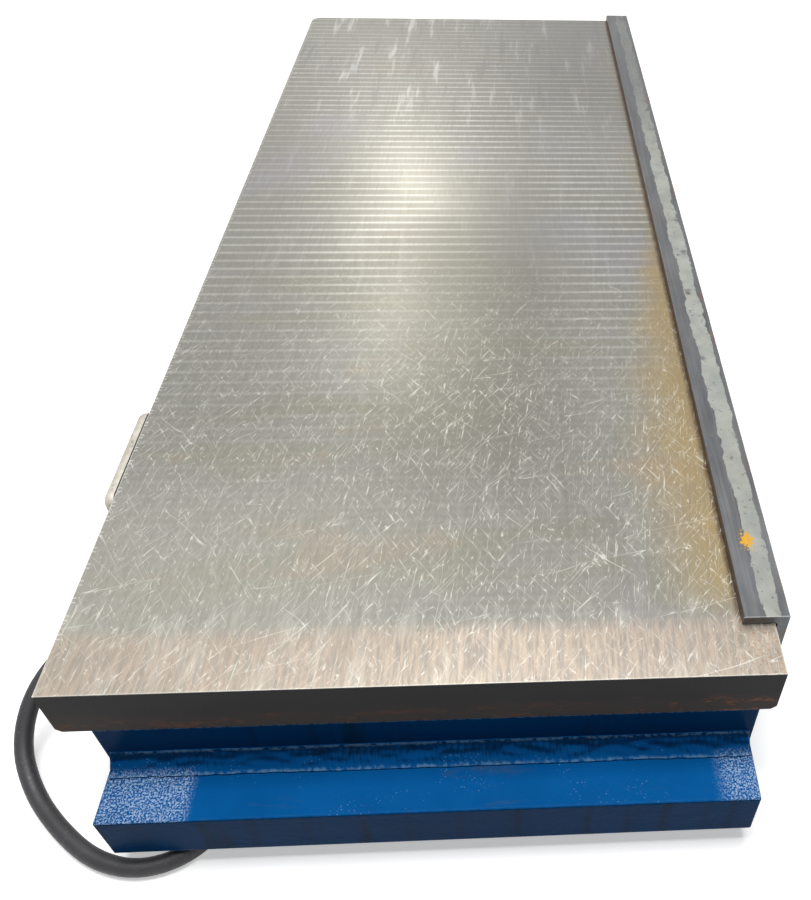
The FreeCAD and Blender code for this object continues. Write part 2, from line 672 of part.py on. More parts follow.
def make_rail():
    """Steel angle over the right edge of the plate, held by countersunk screws from the side."""
    body = new_body("stop_rail", "plate_x + rail_reach", "front_y + rail_start", "work_face + rail_land")
    section = sketch_on(body, "XZ")
    polygon(section, [("0", "rail_thick"), ("-rail_leg", "rail_thick"), ("-rail_leg", "0"),
                      ("-rail_thick", "0"), ("-rail_thick", "rail_thick - rail_drop"),
                      ("0", "rail_thick - rail_drop")])
    pad(body, section, "plate_length - rail_start", backwards=True)
    thick = sheet.get("rail_thick")
    root = edges_along(body, ALONG_Y, lambda m: abs(m.x + thick) < 0.01 and abs(m.z) < 0.01)
    round_edges(body, root, "rail_root")
    leg = sheet.get("rail_leg")
    tip = edges_along(body, ALONG_Y, lambda m: abs(m.x + leg) < 0.01 and m.z > thick / 2)
    round_edges(body, tip, "rail_tip")
    first = ("stack_front + separator_thick + bar_thick / 2 + rail_first_bar * pole_pitch"
             " - front_y - rail_start")
    drop = "-(rail_screw_drop + rail_land)"
    holes = sketch_on(body, "YZ", "-rail_thick")
    circles(holes, [(first, drop)], "screw_size + 2 * hole_gap")
    hole = pocket(body, holes, "rail_thick", backwards=True)
    sinks = sketch_on(body, "YZ")
    circles(sinks, [(first, drop)], "sunk_head_size")
    sink = pocket(body, sinks, "(sunk_head_size - screw_size) / 2 - hole_gap", taper=-45)
    repeat(body, [hole, sink], "Y", "rail_bar_step * pole_pitch", "rail_screw_count")
    make_rail_screws()


def make_rail_screws():
    first = "stack_front + separator_thick + bar_thick / 2 + rail_first_bar * pole_pitch"
    seat = ("plate_x + rail_reach", first, "work_face - rail_screw_drop")
    body = new_body("rail_screws", *seat)
    shank = sketch_on(body, "YZ")
    circles(shank, [("0", "0")], "screw_size")
    shank_pad = pad(body, shank, "rail_thick + rail_gap + screw_grip", backwards=True)
    head = sketch_on(body, "YZ")
    circles(head, [("0", "0")], "sunk_head_size")
    head_pad = pad(body, head, "(sunk_head_size - screw_size) / 2 - thread_gap", backwards=True, taper=-45)
    socket = sketch_on(body, "YZ")
    hexagon(socket, "0", "0", "sunk_socket")
    socket_cut = pocket(body, socket, "sunk_socket_depth")
    repeat(body, [shank_pad, head_pad, socket_cut], "Y", "rail_bar_step * pole_pitch", "rail_screw_count")
    spacers = new_body("rail_spacers", "plate_x + plate_width / 2", *seat[1:])
    ring = sketch_on(spacers, "YZ")
    circles(ring, [("0", "0")], "spacer_size")
    circles(ring, [("0", "0")], "screw_size + 2 * hole_gap")
    spacer = pad(spacers, ring, "rail_gap")
    repeat(spacers, [spacer], "Y", "rail_bar_step * pole_pitch", "rail_screw_count")


# ---------------------------------------------------------------- terminal box

BOX_PLACE = ("box_x", "box_y", "box_z")
COVER_SCREWS = grid(("pin_screw_inset", "box_length - pin_screw_inset"),
                    ("pin_screw_inset", "box_height - pin_screw_inset"))


def box_outline(sketch):
    rectangle(sketch, "0", "0", "box_length", "box_height")


def box_cavity(sketch):
    """The inside of the box, its corners left solid for the cover screws."""
    low, boss = "box_wall", "(box_wall + box_boss)"
    far, top = "box_length", "box_height"
    polygon(sketch, [(boss, low), (f"{far} - {boss}", low), (f"{far} - {low}", boss),
                     (f"{far} - {low}", f"{top} - {boss}"), (f"{far} - {boss}", f"{top} - {low}"),
                     (boss, f"{top} - {low}"), (low, f"{top} - {boss}"), (low, boss)])


def make_box():
    body = new_body("terminal_box", *BOX_PLACE)
    outline = sketch_on(body, "YZ")
    box_outline(outline)
    pad(body, outline, "box_depth", backwards=True)
    round_edges(body, edges_along(body, ALONG_X, everywhere), "box_corner")
    cavity = sketch_on(body, "YZ", "-box_depth")
    box_cavity(cavity)
    pocket(body, cavity, "box_depth - box_back", backwards=True)
    fixings = sketch_on(body, "YZ")
    circles(fixings, grid(BOX_SCREW_ENDS, ("box_screw_low", "box_screw_high")), "screw_size + 2 * hole_gap")
    circles(fixings, [("box_length / 2", "lead_z")], "bushing_size + 2 * thread_gap")
    pocket(body, fixings, "box_back")
    entry = sketch_on(body, "XZ")
    circles(entry, [("-gland_out", "gland_high")], "gland_thread + 2 * thread_gap")
    pocket(body, entry, "box_wall")
    threads = sketch_on(body, "YZ", "-box_depth")
    circles(threads, COVER_SCREWS, "pin_screw_size + 2 * thread_gap")
    pocket(body, threads, "pin_screw_grip + tip_gap", backwards=True)
    make_gasket_and_cover()
    make_box_screws()


def make_gasket_and_cover():
    gasket = new_body("box_gasket", "box_x - box_depth", *BOX_PLACE[1:])
    outline = sketch_on(gasket, "YZ")
    box_outline(outline)
    box_cavity(outline)
    circles(outline, COVER_SCREWS, "pin_screw_size + 2 * hole_gap")
    pad(gasket, outline, "gasket_thick", backwards=True)
    round_edges(gasket, edges_along(gasket, ALONG_X, at_box_corner), "box_corner")
    cover = new_body("box_cover", "box_x - box_depth - gasket_thick", *BOX_PLACE[1:])
    outline = sketch_on(cover, "YZ")
    box_outline(outline)
    pad(cover, outline, "cover_thick", backwards=True)
    round_edges(cover, edges_along(cover, ALONG_X, everywhere), "box_corner")
    face = -sheet.get("cover_thick")
    rim = [f"Edge{number}" for number, edge in enumerate(cover.Tip.Shape.Edges, start=1)
           if abs(edge.BoundBox.XMax - face) < 0.01]
    round_edges(cover, rim, "cover_round")
    for size, depth in (("pin_screw_head_size + 2 * hole_gap", "pin_screw_head + hole_gap"),
                        ("pin_screw_size + 2 * hole_gap", "cover_thick")):
        holes = sketch_on(cover, "YZ", "-cover_thick")
        circles(holes, COVER_SCREWS, size)
        pocket(cover, holes, depth, backwards=True)
    sink = "pin_screw_head + hole_gap"
    screws("cover_screws", "YZ", COVER_SCREWS, COVER_SCREW,
           f"cover_thick - ({sink}) + gasket_thick + pin_screw_grip",
           (f"box_x - box_depth - gasket_thick - cover_thick + {sink}", *BOX_PLACE[1:]))


def at_box_corner(middle):
    far, top = sheet.get("box_length"), sheet.get("box_height")
    return min(abs(middle.y), abs(middle.y - far)) + min(abs(middle.z), abs(middle.z - top)) < 0.01


def make_box_screws():
    screws("box_screws", "YZ", grid(BOX_SCREW_ENDS, ("box_screw_low", "box_screw_high")), SMALL_SCREW,
           "box_back + screw_grip", ("box_x - box_back", *BOX_PLACE[1:]))


def make_terminals():
    """A two-way terminal block on the back wall, its screws, and the bushing of the coil leads."""
    block = new_body("terminal_block", "box_x - box_back", "box_y + box_length / 2", "box_z + box_wall + block_low")
    body_profile = sketch_on(block, "XY")
    rectangle(body_profile, "-block_depth", "-block_length / 2", "0", "block_length / 2")
    pad(block, body_profile, "block_height")
    slots = sketch_on(block, "YZ", "-block_depth")
    for middle in TERMINALS:
        rectangle(slots, f"{middle} - block_slot / 2", "0", f"{middle} + block_slot / 2", "block_height")
    pocket(block, slots, "block_rib", backwards=True)
    threads = sketch_on(block, "YZ", "block_rib - block_depth")
    circles(threads, TERMINAL_CENTRES, "pin_screw_size + 2 * thread_gap")
    pocket(block, threads, "block_depth - block_rib - block_skin", backwards=True)
    screws("terminal_screws", "YZ", TERMINAL_CENTRES, COVER_SCREW,
           "block_depth - block_rib - 2 * block_skin",
           ("box_x - box_back - block_depth + block_rib", "box_y + box_length / 2",
            "box_z + box_wall + block_low"))
    bushing = new_body("lead_bushing", "box_x", "box_y + box_length / 2", "box_z + lead_z")
    tube = sketch_on(bushing, "YZ", "-box_back")
    circles(tube, [("0", "0")], "bushing_size")
    pad(bushing, tube, "box_back + side_wall")
    flange = sketch_on(bushing, "YZ", "-box_back")
    circles(flange, [("0", "0")], "bushing_flange")
    pad(bushing, flange, "bushing_flange_thick", backwards=True)
    bore = sketch_on(bushing, "YZ", "-box_back - bushing_flange_thick")
    circles(bore, [("0", "0")], "bushing_bore")
    pocket(bushing, bore, "box_back + side_wall + bushing_flange_thick", backwards=True)


# ---------------------------------------------------------------- gland

GLAND_PLACE = ("box_x - gland_out", "box_y", "box_z + gland_high")


def gland_ring(name, start, profile, grips=None):
    """A turned piece on the gland's axis: profile is (distance out of the box, radius)."""
    body = new_body(name, *GLAND_PLACE)
    section = sketch_on(body, "XY")
    polygon(section, [(radius, f"-({start} + {along})") for along, radius in profile])
    revolve(body, section, "V_Axis")
    if grips is not None:
        along, length = grips
        flats = sketch_on(body, "XZ", f"{start} + {along}")
        hexagon(flats, "0", "0", "gland_hexagon")
        circles(flats, [("0", "0")], "gland_spigot + 2 * thread_gap")
        pad(body, flats, length)
    return body


def make_gland():
    bore, spigot = "cable_size / 2 + cable_gap", "gland_spigot / 2"
    loose = f"{spigot} + thread_gap"
    inside = "-(box_wall + locknut_thick)"
    end = "gland_flange + gland_spigot_length"
    gland_ring("gland_body", "0", [(inside, bore), (inside, "gland_thread / 2"), ("0", "gland_thread / 2"),
                                   ("0", spigot), (end, spigot), (end, bore)],
               grips=("0", "gland_flange"))
    seal_end, mouth = "gland_spigot_length + seal_length", "boot_base / 2 - nut_mouth"
    gland_ring("gland_nut", "gland_flange",
               [("0", loose), ("0", f"{loose} + nut_wall"), ("nut_length - nut_bevel", f"{loose} + nut_wall"),
                ("nut_length", f"{loose} + nut_wall - nut_bevel"), ("nut_length", mouth),
                (seal_end, mouth), (seal_end, loose)],
               grips=("nut_inset", "gland_spigot_length"))
    gland_ring("gland_seal", end, [("0", bore), ("0", spigot), ("seal_length", spigot),
                                   ("seal_length", bore)])
    gland_ring("strain_relief", "gland_flange + nut_length",
               [("0", bore), ("0", "boot_base / 2"), ("boot_length", "boot_mouth / 2"),
                ("boot_length", bore)])
    locknut = new_body("gland_locknut", "box_x - gland_out", "box_y + box_wall", "box_z + gland_high")
    flats = sketch_on(locknut, "XZ")
    hexagon(flats, "0", "0", "gland_hexagon")
    circles(flats, [("0", "0")], "gland_thread + 2 * thread_gap")
    pad(locknut, flats, "locknut_thick", backwards=True)
    tail = new_body("cable_tail", *GLAND_PLACE)
    section = sketch_on(tail, "XZ", "gland_flange + nut_length + boot_length")
    circles(section, [("0", "0")], "cable_size")
    pad(tail, section, "gland_flange + nut_length + boot_length + box_wall + tail_inside", backwards=True)


# ---------------------------------------------------------------- leads and cable


def smooth_path(points):
    """Straight runs joined by tangent arcs, each as large as its two runs allow."""
    points = [Vector(*point) for point in points]
    edges, radii, start = [], [], points[0]
    for before, corner, after in zip(points, points[1:], points[2:]):
        back, ahead = before - corner, after - corner
        shorter = min(back.Length, ahead.Length)
        half_turn = (math.pi - back.getAngle(ahead)) / 2
        reach = ARC_SHARE * shorter
        radius = reach / math.tan(half_turn)
        first = corner + back.normalize() * reach
        last = corner + ahead.normalize() * reach
        inward = (back + ahead).normalize()
        middle = corner + inward * (radius / math.cos(half_turn) - radius)
        edges += [Part.LineSegment(start, first).toShape(), Part.Arc(first, middle, last).toShape()]
        radii.append(radius)
        start = last
    edges.append(Part.LineSegment(start, points[-1]).toShape())
    return Part.Wire(edges), radii


def tube(points, size):
    """A round solid along the path, checked against its section times its length."""
    path, radii = smooth_path(points)
    heading = Vector(*points[1]) - Vector(*points[0])
    section = Part.Wire(Part.Circle(Vector(*points[0]), heading, size / 2).toShape())
    solid = path.makePipeShell([section], True, True)
    expected = math.pi * size ** 2 / 4 * path.Length
    if abs(solid.Volume / expected - 1) > 0.01:
        raise RuntimeError("a tube's volume is not its section times its length")
    return solid, path.Length, radii


def add_tubes(name, routes, size):
    solids = []
    for route in routes:
        solid, length, radii = tube(route, size)
        solids.append(solid)
        print(f"{name}: {length:.0f} mm, smallest radius {min(radii):.0f} mm")
    piece = doc.addObject("Part::Feature", name)
    piece.Label = name
    piece.Shape = solids[0] if len(solids) == 1 else Part.makeCompound(solids)
    pieces.append(piece)
    return piece


def make_cable():
    size = sheet.get("cable_size")
    add_tubes("cable_run", [CABLE_ROUTE], size)
    add_tubes("cable_end", [CABLE_END_ROUTE], size)
    coil = new_body("cable_coil", "coil_middle_x", "coil_middle_y", "tie_thick")
    section = sketch_on(coil, "XZ")
    rectangle(section, "coil_radius - 1.5 * cable_size", "0", "coil_radius + cable_size / 2", "2 * cable_size")
    revolve(coil, section, "V_Axis")
    rims = [f"Edge{number}" for number, edge in enumerate(coil.Tip.Shape.Edges, start=1)
            if edge.Curve.TypeId == "Part::GeomCircle"]
    round_edges(coil, rims, "coil_rim")
    entry = sketch_on(coil, "XZ")
    circles(entry, [("-coil_radius", "cable_size / 2")], "cable_size")
    pad(coil, entry, "coil_stub")
    leaving = sketch_on(coil, "YZ")
    circles(leaving, [("coil_radius", "1.5 * cable_size")], "cable_size")
    pad(coil, leaving, "coil_stub")
    tie = new_body("coil_tie", "coil_middle_x + coil_radius - cable_size / 2", "coil_middle_y")
    band = sketch_on(tie, "XZ", "-tie_width / 2")
    side, top = "cable_size + tie_gap + tie_thick", "2 * cable_size + 2 * tie_thick"
    rectangle(band, f"-({side})", "0", side, top)
    inner = "cable_size + tie_gap"
    rectangle(band, f"-({inner})", "tie_thick", inner, "2 * cable_size + tie_thick")
    pad(tie, band, "tie_width")


def make_plug():
    """A rubber-bodied plug with two flat blades and a round pin, lying where the cable ends."""
    ahead = Vector(*CABLE_END_ROUTE[-1]) - Vector(*CABLE_END_ROUTE[-2])
    turn = FreeCAD.Rotation(ALONG_X, Vector(ahead.x, ahead.y, 0))
    body = new_body("plug_body")
    section = sketch_on(body, "XY")
    polygon(section, [("0", "0"), ("0", "plug_neck / 2"), ("plug_neck_length", "plug_swell"),
                      ("plug_flare", "plug_size / 2"), ("plug_length - plug_round", "plug_size / 2"),
                      ("plug_length", "plug_size / 2 - plug_round"), ("plug_length", "0")])
    revolve(body, section, "H_Axis")
    blades = new_body("plug_blades")
    flats = sketch_on(blades, "YZ", "plug_length")
    for middle in ("-blade_spacing / 2", "blade_spacing / 2"):
        rectangle(flats, f"{middle} - blade_thick / 2", "-blade_width / 2",
                  f"{middle} + blade_thick / 2", "blade_width / 2")
    pad(blades, flats, "blade_length")
    pin = sketch_on(blades, "YZ", "plug_length")
    circles(pin, [("0", "pin_offset")], "pin_size")
    pad(blades, pin, "pin_length")
    for piece in (body, blades):
        piece.Placement = FreeCAD.Placement(Vector(*CABLE_END_ROUTE[-1]), turn)


def make_leads():
    """Two leads from the coils through the bushing, and two from the cable, to the terminals."""
    x, y, z = (sheet.get(name) for name in ("box_x", "box_y", "box_z"))
    back, lead, slot = sheet.get("box_back"), sheet.get("lead_size"), sheet.get("block_depth")
    middle, lead_z = y + sheet.get("box_length") / 2, z + sheet.get("lead_z")
    block_top = z + sheet.get("box_wall") + sheet.get("block_low") + sheet.get("block_height")
    near, far = x - back - lead, x - back - (slot - sheet.get("block_rib")) + lead / 2
    tail_x, tail_z = x - sheet.get("gland_out"), z + sheet.get("gland_high")
    tail_y = y + sheet.get("box_wall") + sheet.get("tail_inside")
    coil_routes, cable_routes = [], []
    for side in (-1, 1):
        apart = side * lead * 0.6
        terminal = middle + side * sheet.get("block_step") / 2
        coil_routes.append([(x + sheet.get("side_wall"), middle + apart, lead_z),
                            (x - back - 2 * lead, middle + apart, lead_z),
                            (near, terminal, lead_z - 3 * lead), (near, terminal, block_top)])
        cable_routes.append([(tail_x + apart, tail_y, tail_z), (tail_x + apart, tail_y + 3 * lead, tail_z),
                             (far, terminal, tail_z + lead), (far, terminal, block_top)])
    add_tubes("coil_leads", coil_routes, lead)
    add_tubes("cable_leads", cable_routes, lead)


def main():
    fill_sheet()
    make_base_plate()
    make_walls()
    make_welds()
    make_strips()
    make_bolts()
    make_pole_plate()
    make_magnet()
    make_potting()
    make_rail()
    make_box()
    make_terminals()
    make_leads()
    make_gland()
    make_cable()
    make_plug()
    doc.recompute()
    write_parts()


def write_parts():
    for item in doc.Objects:
        if "Invalid" in item.State or "Error" in item.State:
            raise RuntimeError(f"{item.Label} failed to recompute")
    for piece in pieces:
        if piece.Shape.isNull() or not piece.Shape.isValid():
            raise RuntimeError(f"{piece.Label} has no valid shape")
    os.makedirs("parts", exist_ok=True)
    for piece in pieces:
        piece.Shape.exportStep(f"parts/{piece.Label}.step")
        print(f"{piece.Label}: {len(piece.Shape.Solids)} solids, {piece.Shape.Volume / 1000:.1f} cm3")


main()
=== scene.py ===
"""Looks of the electromagnetic chuck: worn ground steel, blue enamel, mill-scaled stop rail,
cast terminal box and rubber cable. Metres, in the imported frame."""
import json
import math

import bmesh
import bpy
from mathutils import Matrix, Vector, noise


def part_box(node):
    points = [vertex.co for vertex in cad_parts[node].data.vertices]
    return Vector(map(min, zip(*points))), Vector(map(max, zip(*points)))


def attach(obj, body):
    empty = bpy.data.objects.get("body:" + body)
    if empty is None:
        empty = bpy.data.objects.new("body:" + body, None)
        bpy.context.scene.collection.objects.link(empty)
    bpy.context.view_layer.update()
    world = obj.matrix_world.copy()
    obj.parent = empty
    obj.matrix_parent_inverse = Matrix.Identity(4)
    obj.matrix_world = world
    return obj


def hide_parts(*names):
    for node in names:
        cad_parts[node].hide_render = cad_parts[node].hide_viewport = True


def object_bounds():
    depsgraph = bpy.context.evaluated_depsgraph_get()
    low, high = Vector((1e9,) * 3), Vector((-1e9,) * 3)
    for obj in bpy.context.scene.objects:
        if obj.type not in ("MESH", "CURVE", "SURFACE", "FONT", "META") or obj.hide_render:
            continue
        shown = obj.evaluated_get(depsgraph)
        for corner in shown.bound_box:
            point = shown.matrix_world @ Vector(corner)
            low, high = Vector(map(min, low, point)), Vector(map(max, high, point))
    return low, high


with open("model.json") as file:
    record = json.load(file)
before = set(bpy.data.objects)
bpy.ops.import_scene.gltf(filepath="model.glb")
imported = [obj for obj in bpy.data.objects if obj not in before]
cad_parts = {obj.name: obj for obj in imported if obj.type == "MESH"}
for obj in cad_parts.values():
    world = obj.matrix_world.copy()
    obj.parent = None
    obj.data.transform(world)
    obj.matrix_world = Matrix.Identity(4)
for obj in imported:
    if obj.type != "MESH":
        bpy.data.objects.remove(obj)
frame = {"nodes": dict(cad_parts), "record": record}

lo0, hi0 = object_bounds()
nodes = frame["nodes"]
bpy.context.scene.view_settings.view_transform = "Standard"

# ---------------------------------------------------------------- sizes, from the frame

POLE_PITCH = 0.0127
WORK_FACE = 0.125
PLATE_LOW, PLATE_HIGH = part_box("end_block_front")
PLATE_MIDDLE = (PLATE_LOW[0] + PLATE_HIGH[0]) / 2
PLATE_HALF_WIDTH = (PLATE_HIGH[0] - PLATE_LOW[0]) / 2
PLATE_HALF_LENGTH = -PLATE_LOW[1]
POLES_END = PLATE_HIGH[1]
RAIL_LOW, RAIL_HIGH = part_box("stop_rail")
RAIL_INNER, RAIL_OUTER, RAIL_TOP = RAIL_LOW[0], RAIL_HIGH[0], RAIL_HIGH[2]
BASE_LOW, BASE_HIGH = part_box("base_plate")

# ---------------------------------------------------------------- camera

RIGHT = Vector((0.998211, -0.052745, 0.028167))
DOWN = Vector((-0.017253, -0.705086, -0.708912))
AHEAD = Vector((0.057252, 0.707157, -0.704734))
EYE = Vector((0.0680, -0.7795, 0.5576))


def make_camera():
    data = bpy.data.cameras.new("camera")
    data.sensor_width = 36
    data.lens = 36.48
    data.shift_x = -0.183
    data.shift_y = 0.023
    data.clip_start = 0.02
    camera = bpy.data.objects.new("camera", data)
    turn = Matrix((RIGHT, -DOWN, -AHEAD)).transposed().to_4x4()
    camera.matrix_world = Matrix.Translation(EYE) @ turn
    bpy.context.collection.objects.link(camera)
    bpy.context.scene.camera = camera


make_camera()

# ---------------------------------------------------------------- materials


class Nodes:
    """A material's nodes, made one after another. Every value is a socket or a number."""

    def __init__(self, name):
        self.material = bpy.data.materials.new(name)
        self.material.use_nodes = True
        self.tree = self.material.node_tree
        self.tree.nodes.clear()
        self.shader = self.tree.nodes.new("ShaderNodeBsdfPrincipled")
        output = self.tree.nodes.new("ShaderNodeOutputMaterial")
        self.tree.links.new(self.shader.outputs[0], output.inputs[0])
        self.place = self.tree.nodes.new("ShaderNodeTexCoord").outputs["Object"]

    def put(self, socket, value):
        if isinstance(value, bpy.types.NodeSocket):
            self.tree.links.new(value, socket)
        elif value is not None:
            socket.default_value = value

    def math(self, kind, a, b=None):
        node = self.tree.nodes.new("ShaderNodeMath")
        node.operation = kind
        for socket, value in zip(node.inputs, (a, b)):
            self.put(socket, value)
        return node.outputs[0]

    def times(self, *shares):
        total = shares[0]
        for share in shares[1:]:
            total = self.math("MULTIPLY", total, share)
        return total

    def plus(self, a, b):
        return self.math("ADD", a, b)

    def minus(self, a, b):
        return self.math("SUBTRACT", a, b)

    def largest(self, a, b):
        return self.math("MAXIMUM", a, b)

    def away(self, value, middle=0.0):
        """How far a value lies from the middle, to either side."""
        return self.math("ABSOLUTE", self.minus(value, middle))

    def axes(self, place=None):
        node = self.tree.nodes.new("ShaderNodeSeparateXYZ")
        self.put(node.inputs[0], place or self.place)
        return node.outputs

    def moved(self, scale=(1, 1, 1), shift=(0, 0, 0), place=None):
        node = self.tree.nodes.new("ShaderNodeMapping")
        self.put(node.inputs["Vector"], place or self.place)
        self.put(node.inputs["Location"], shift)
        self.put(node.inputs["Scale"], scale)
        return node.outputs[0]

    def noise(self, size, detail=3, rough=0.5, place=None):
        node = self.tree.nodes.new("ShaderNodeTexNoise")
        self.put(node.inputs["Vector"], place or self.place)
        for name, value in (("Scale", size), ("Detail", detail), ("Roughness", rough)):
            self.put(node.inputs[name], value)
        return node.outputs["Fac"]

    def cells(self, size):
        node = self.tree.nodes.new("ShaderNodeTexVoronoi")
        self.put(node.inputs["Vector"], self.place)
        self.put(node.inputs["Scale"], size)
        return node.outputs["Distance"]

    def ramp(self, value, low, high, start=0.0, end=1.0):
        """A smooth step from start at low to end at high."""
        node = self.tree.nodes.new("ShaderNodeMapRange")
        node.interpolation_type = "SMOOTHSTEP"
        names = ("Value", "From Min", "From Max", "To Min", "To Max")
        for name, number in zip(names, (value, low, high, start, end)):
            self.put(node.inputs[name], number)
        return node.outputs[0]

    def mix(self, share, a, b):
        """Colour a where the share is 0 and colour b where it is 1."""
        node = self.tree.nodes.new("ShaderNodeMix")
        node.data_type = "RGBA"
        node.clamp_factor = True
        self.put(node.inputs["Factor"], share)
        self.put(node.inputs["A"], a if isinstance(a, bpy.types.NodeSocket) else (*a, 1))
        self.put(node.inputs["B"], b if isinstance(b, bpy.types.NodeSocket) else (*b, 1))
        return node.outputs["Result"]

    def bump(self, height, strength, distance):
        node = self.tree.nodes.new("ShaderNodeBump")
        self.put(node.inputs["Height"], height)
        self.put(node.inputs["Strength"], strength)
        self.put(node.inputs["Distance"], distance)
        return node.outputs[0]

    def facing(self):
        """The x, y and z shares of the direction that the surface faces."""
        node = self.tree.nodes.new("ShaderNodeNewGeometry")
        return self.axes(node.outputs["Normal"])

    def edges(self, radius=0.002, low=0.02, high=0.18):
        """1 at sharp edges, fading over the radius."""
        bevel = self.tree.nodes.new("ShaderNodeBevel")
        bevel.samples = 4
        self.put(bevel.inputs["Radius"], radius)
        plain = self.tree.nodes.new("ShaderNodeNewGeometry")
        dot = self.tree.nodes.new("ShaderNodeVectorMath")
        dot.operation = "DOT_PRODUCT"
        self.put(dot.inputs[0], bevel.outputs[0])
        self.put(dot.inputs[1], plain.outputs["Normal"])
        return self.ramp(self.math("SUBTRACT", 1, dot.outputs["Value"]), low, high)

    def finish(self, colour, rough, metal=0.0, normal=None, **plain):
        for name, value in (("Base Color", colour), ("Roughness", rough), ("Metallic", metal),
                            ("Normal", normal)):
            if name == "Base Color" and not isinstance(value, bpy.types.NodeSocket):
                value = (*value, 1)
            self.put(self.shader.inputs[name], value)
        for name, value in plain.items():
            self.put(self.shader.inputs[name.replace("_", " ")], value)
        return self.material


def scratches(m, turn, length, apart, thin, keep, seed):
    """Lines of one family, all turned alike and each a little bent: 1 on a line, 0 off it."""
    node = m.tree.nodes.new("ShaderNodeMapping")
    node.vector_type = "TEXTURE"
    m.put(node.inputs["Vector"], m.place)
    m.put(node.inputs["Location"], (seed, -seed, 0))
    m.put(node.inputs["Rotation"], (0, 0, turn))
    m.put(node.inputs["Scale"], (length, apart, 1))
    along, across = m.axes(node.outputs[0])[:2]
    flat = m.tree.nodes.new("ShaderNodeCombineXYZ")
    m.put(flat.inputs[0], along)
    m.put(flat.inputs[1], across)
    line = m.noise(1.0, 0.6, 0.5, flat.outputs[0])
    near = m.away(line, 0.5)
    some = m.noise(0.8, 1, 0.5, m.moved(shift=(seed, seed, 0), place=flat.outputs[0]))
    return m.times(m.ramp(near, 0.0, thin, 1.0, 0.0), m.ramp(some, keep, keep + 0.06))


def stripes_and_reflection(m, y, colour):
    """A light line over each separator and darker poles. Their contrast, weak at the front and clearest in
    the middle of the plate, is painted reflection of the lamps.
    """
    wave = m.math("COSINE", m.times(y, 2 * math.pi / POLE_PITCH))
    patchy = m.ramp(m.noise(9, 3, 0.6, m.moved(scale=(1, 0.5, 0), shift=(1, 6, 0))), 0.30, 0.65, 0.35, 1.0)
    # the y ramps in this strength paint the lamps' reflection onto the stripes
    strength = m.times(patchy, m.ramp(y, -0.42, -0.10, 0.10, 0.50), m.ramp(y, 0.44, 0.22, 0.55, 1.0),
                       m.ramp(y, -0.20, -0.02, 1.0, 2.1))
    halo = m.ramp(wave, -0.1, -1.0)
    line = m.ramp(wave, -0.55, -1.0)
    pole = m.ramp(wave, 0.2, 1.0)
    colour = m.mix(m.times(halo, strength, 0.30), colour, (0.46, 0.455, 0.43))
    colour = m.mix(m.times(line, strength, 0.50), colour, (0.66, 0.65, 0.61))
    return m.mix(m.times(pole, strength, 0.34), colour, (0.17, 0.165, 0.15))


def streaked(m, x, y, colour):
    """Streaks along the plate: a plaid at the near right, pale and dark ones at the far end."""
    plaid = m.noise(52, 2, 0.5, m.moved(scale=(1, 0.05, 0), shift=(8, 3, 0)))
    there = m.times(m.ramp(x, -0.02, 0.06), m.ramp(y, 0.0, -0.12), m.ramp(y, -0.44, -0.36))
    colour = m.mix(m.times(m.ramp(plaid, 0.52, 0.62), there, 0.30), colour, (0.18, 0.18, 0.15))
    streak = m.noise(75, 3, 0.65, m.moved(scale=(1, 0.09, 0), shift=(5, 4, 0)))
    far = m.plus(m.times(m.ramp(y, 0.10, 0.34), 0.5), 0.10)
    colour = m.mix(m.times(m.ramp(streak, 0.55, 0.70), far), colour, (0.62, 0.62, 0.61))
    return m.mix(m.times(m.ramp(streak, 0.45, 0.32), far), colour, (0.20, 0.195, 0.185))


def clouded(m, x, y, colour, banded, blotch):
    """Olive and brown stains in bands across, violet clouds, painted shade over the far right, and darker
    and paler patches.
    """
    olive = m.times(m.ramp(banded, 0.50, 0.66), m.ramp(y, 0.12, -0.22, 0.08, 0.42))
    colour = m.mix(olive, colour, (0.23, 0.215, 0.145))
    brown = m.times(m.ramp(blotch, 0.56, 0.70), m.ramp(y, -0.10, -0.30, 0.10, 0.42))
    colour = m.mix(brown, colour, (0.36, 0.25, 0.16))
    violet = m.noise(6, 3, 0.5, m.moved(scale=(1, 0.8, 0), shift=(11, 9, 0)))
    colour = m.mix(m.times(m.ramp(violet, 0.54, 0.68), 0.30), colour, (0.29, 0.28, 0.33))
    # painted shade: the far right of the work face is darkened
    far_right_shade = m.times(m.ramp(x, 0.0, 0.16), m.ramp(y, 0.10, 0.36))
    colour = m.mix(m.times(far_right_shade, 0.50), colour, (0.12, 0.115, 0.105))
    middle = m.times(m.ramp(m.away(x, 0.035), 0.11, 0.02), m.ramp(y, 0.10, -0.14), m.ramp(y, -0.42, -0.30))
    colour = m.mix(m.times(middle, 0.70), colour, (0.13, 0.13, 0.105))
    near_left = m.times(m.ramp(x, 0.06, -0.10), m.ramp(y, -0.28, -0.42))
    return m.mix(m.times(near_left, 0.45), colour, (0.46, 0.44, 0.38))


def oiled(m, x, y, colour, banded):
    """A tan oil stain beside the stop rail, widest in the near third, and a dark brown line against its
    foot, partly dirt and partly painted shade in the crease.
    """
    reach = m.ramp(y, 0.02, -0.34, 0.012, 0.050)
    from_rail = m.plus(m.minus(RAIL_INNER, x), m.times(m.minus(banded, 0.5), 0.05))
    beside = m.ramp(m.math("DIVIDE", from_rail, reach), 1.30, 0.05)
    stain = m.times(beside, m.ramp(y, -0.475, -0.440), m.ramp(y, 0.15, -0.16, 0.15, 0.88))
    colour = m.mix(stain, colour, (0.31, 0.225, 0.095))
    # dark brown line in the crease at the rail's foot: dirt and painted shade
    foot_dirt_and_shade = m.times(m.ramp(x, RAIL_INNER - 0.0042, RAIL_INNER - 0.0006), m.ramp(y, -0.477, -0.470),
                   m.ramp(m.noise(90, 3, 0.6), 0.2, 0.6, 0.4, 0.9))
    return m.mix(foot_dirt_and_shade, colour, (0.085, 0.050, 0.025)), stain


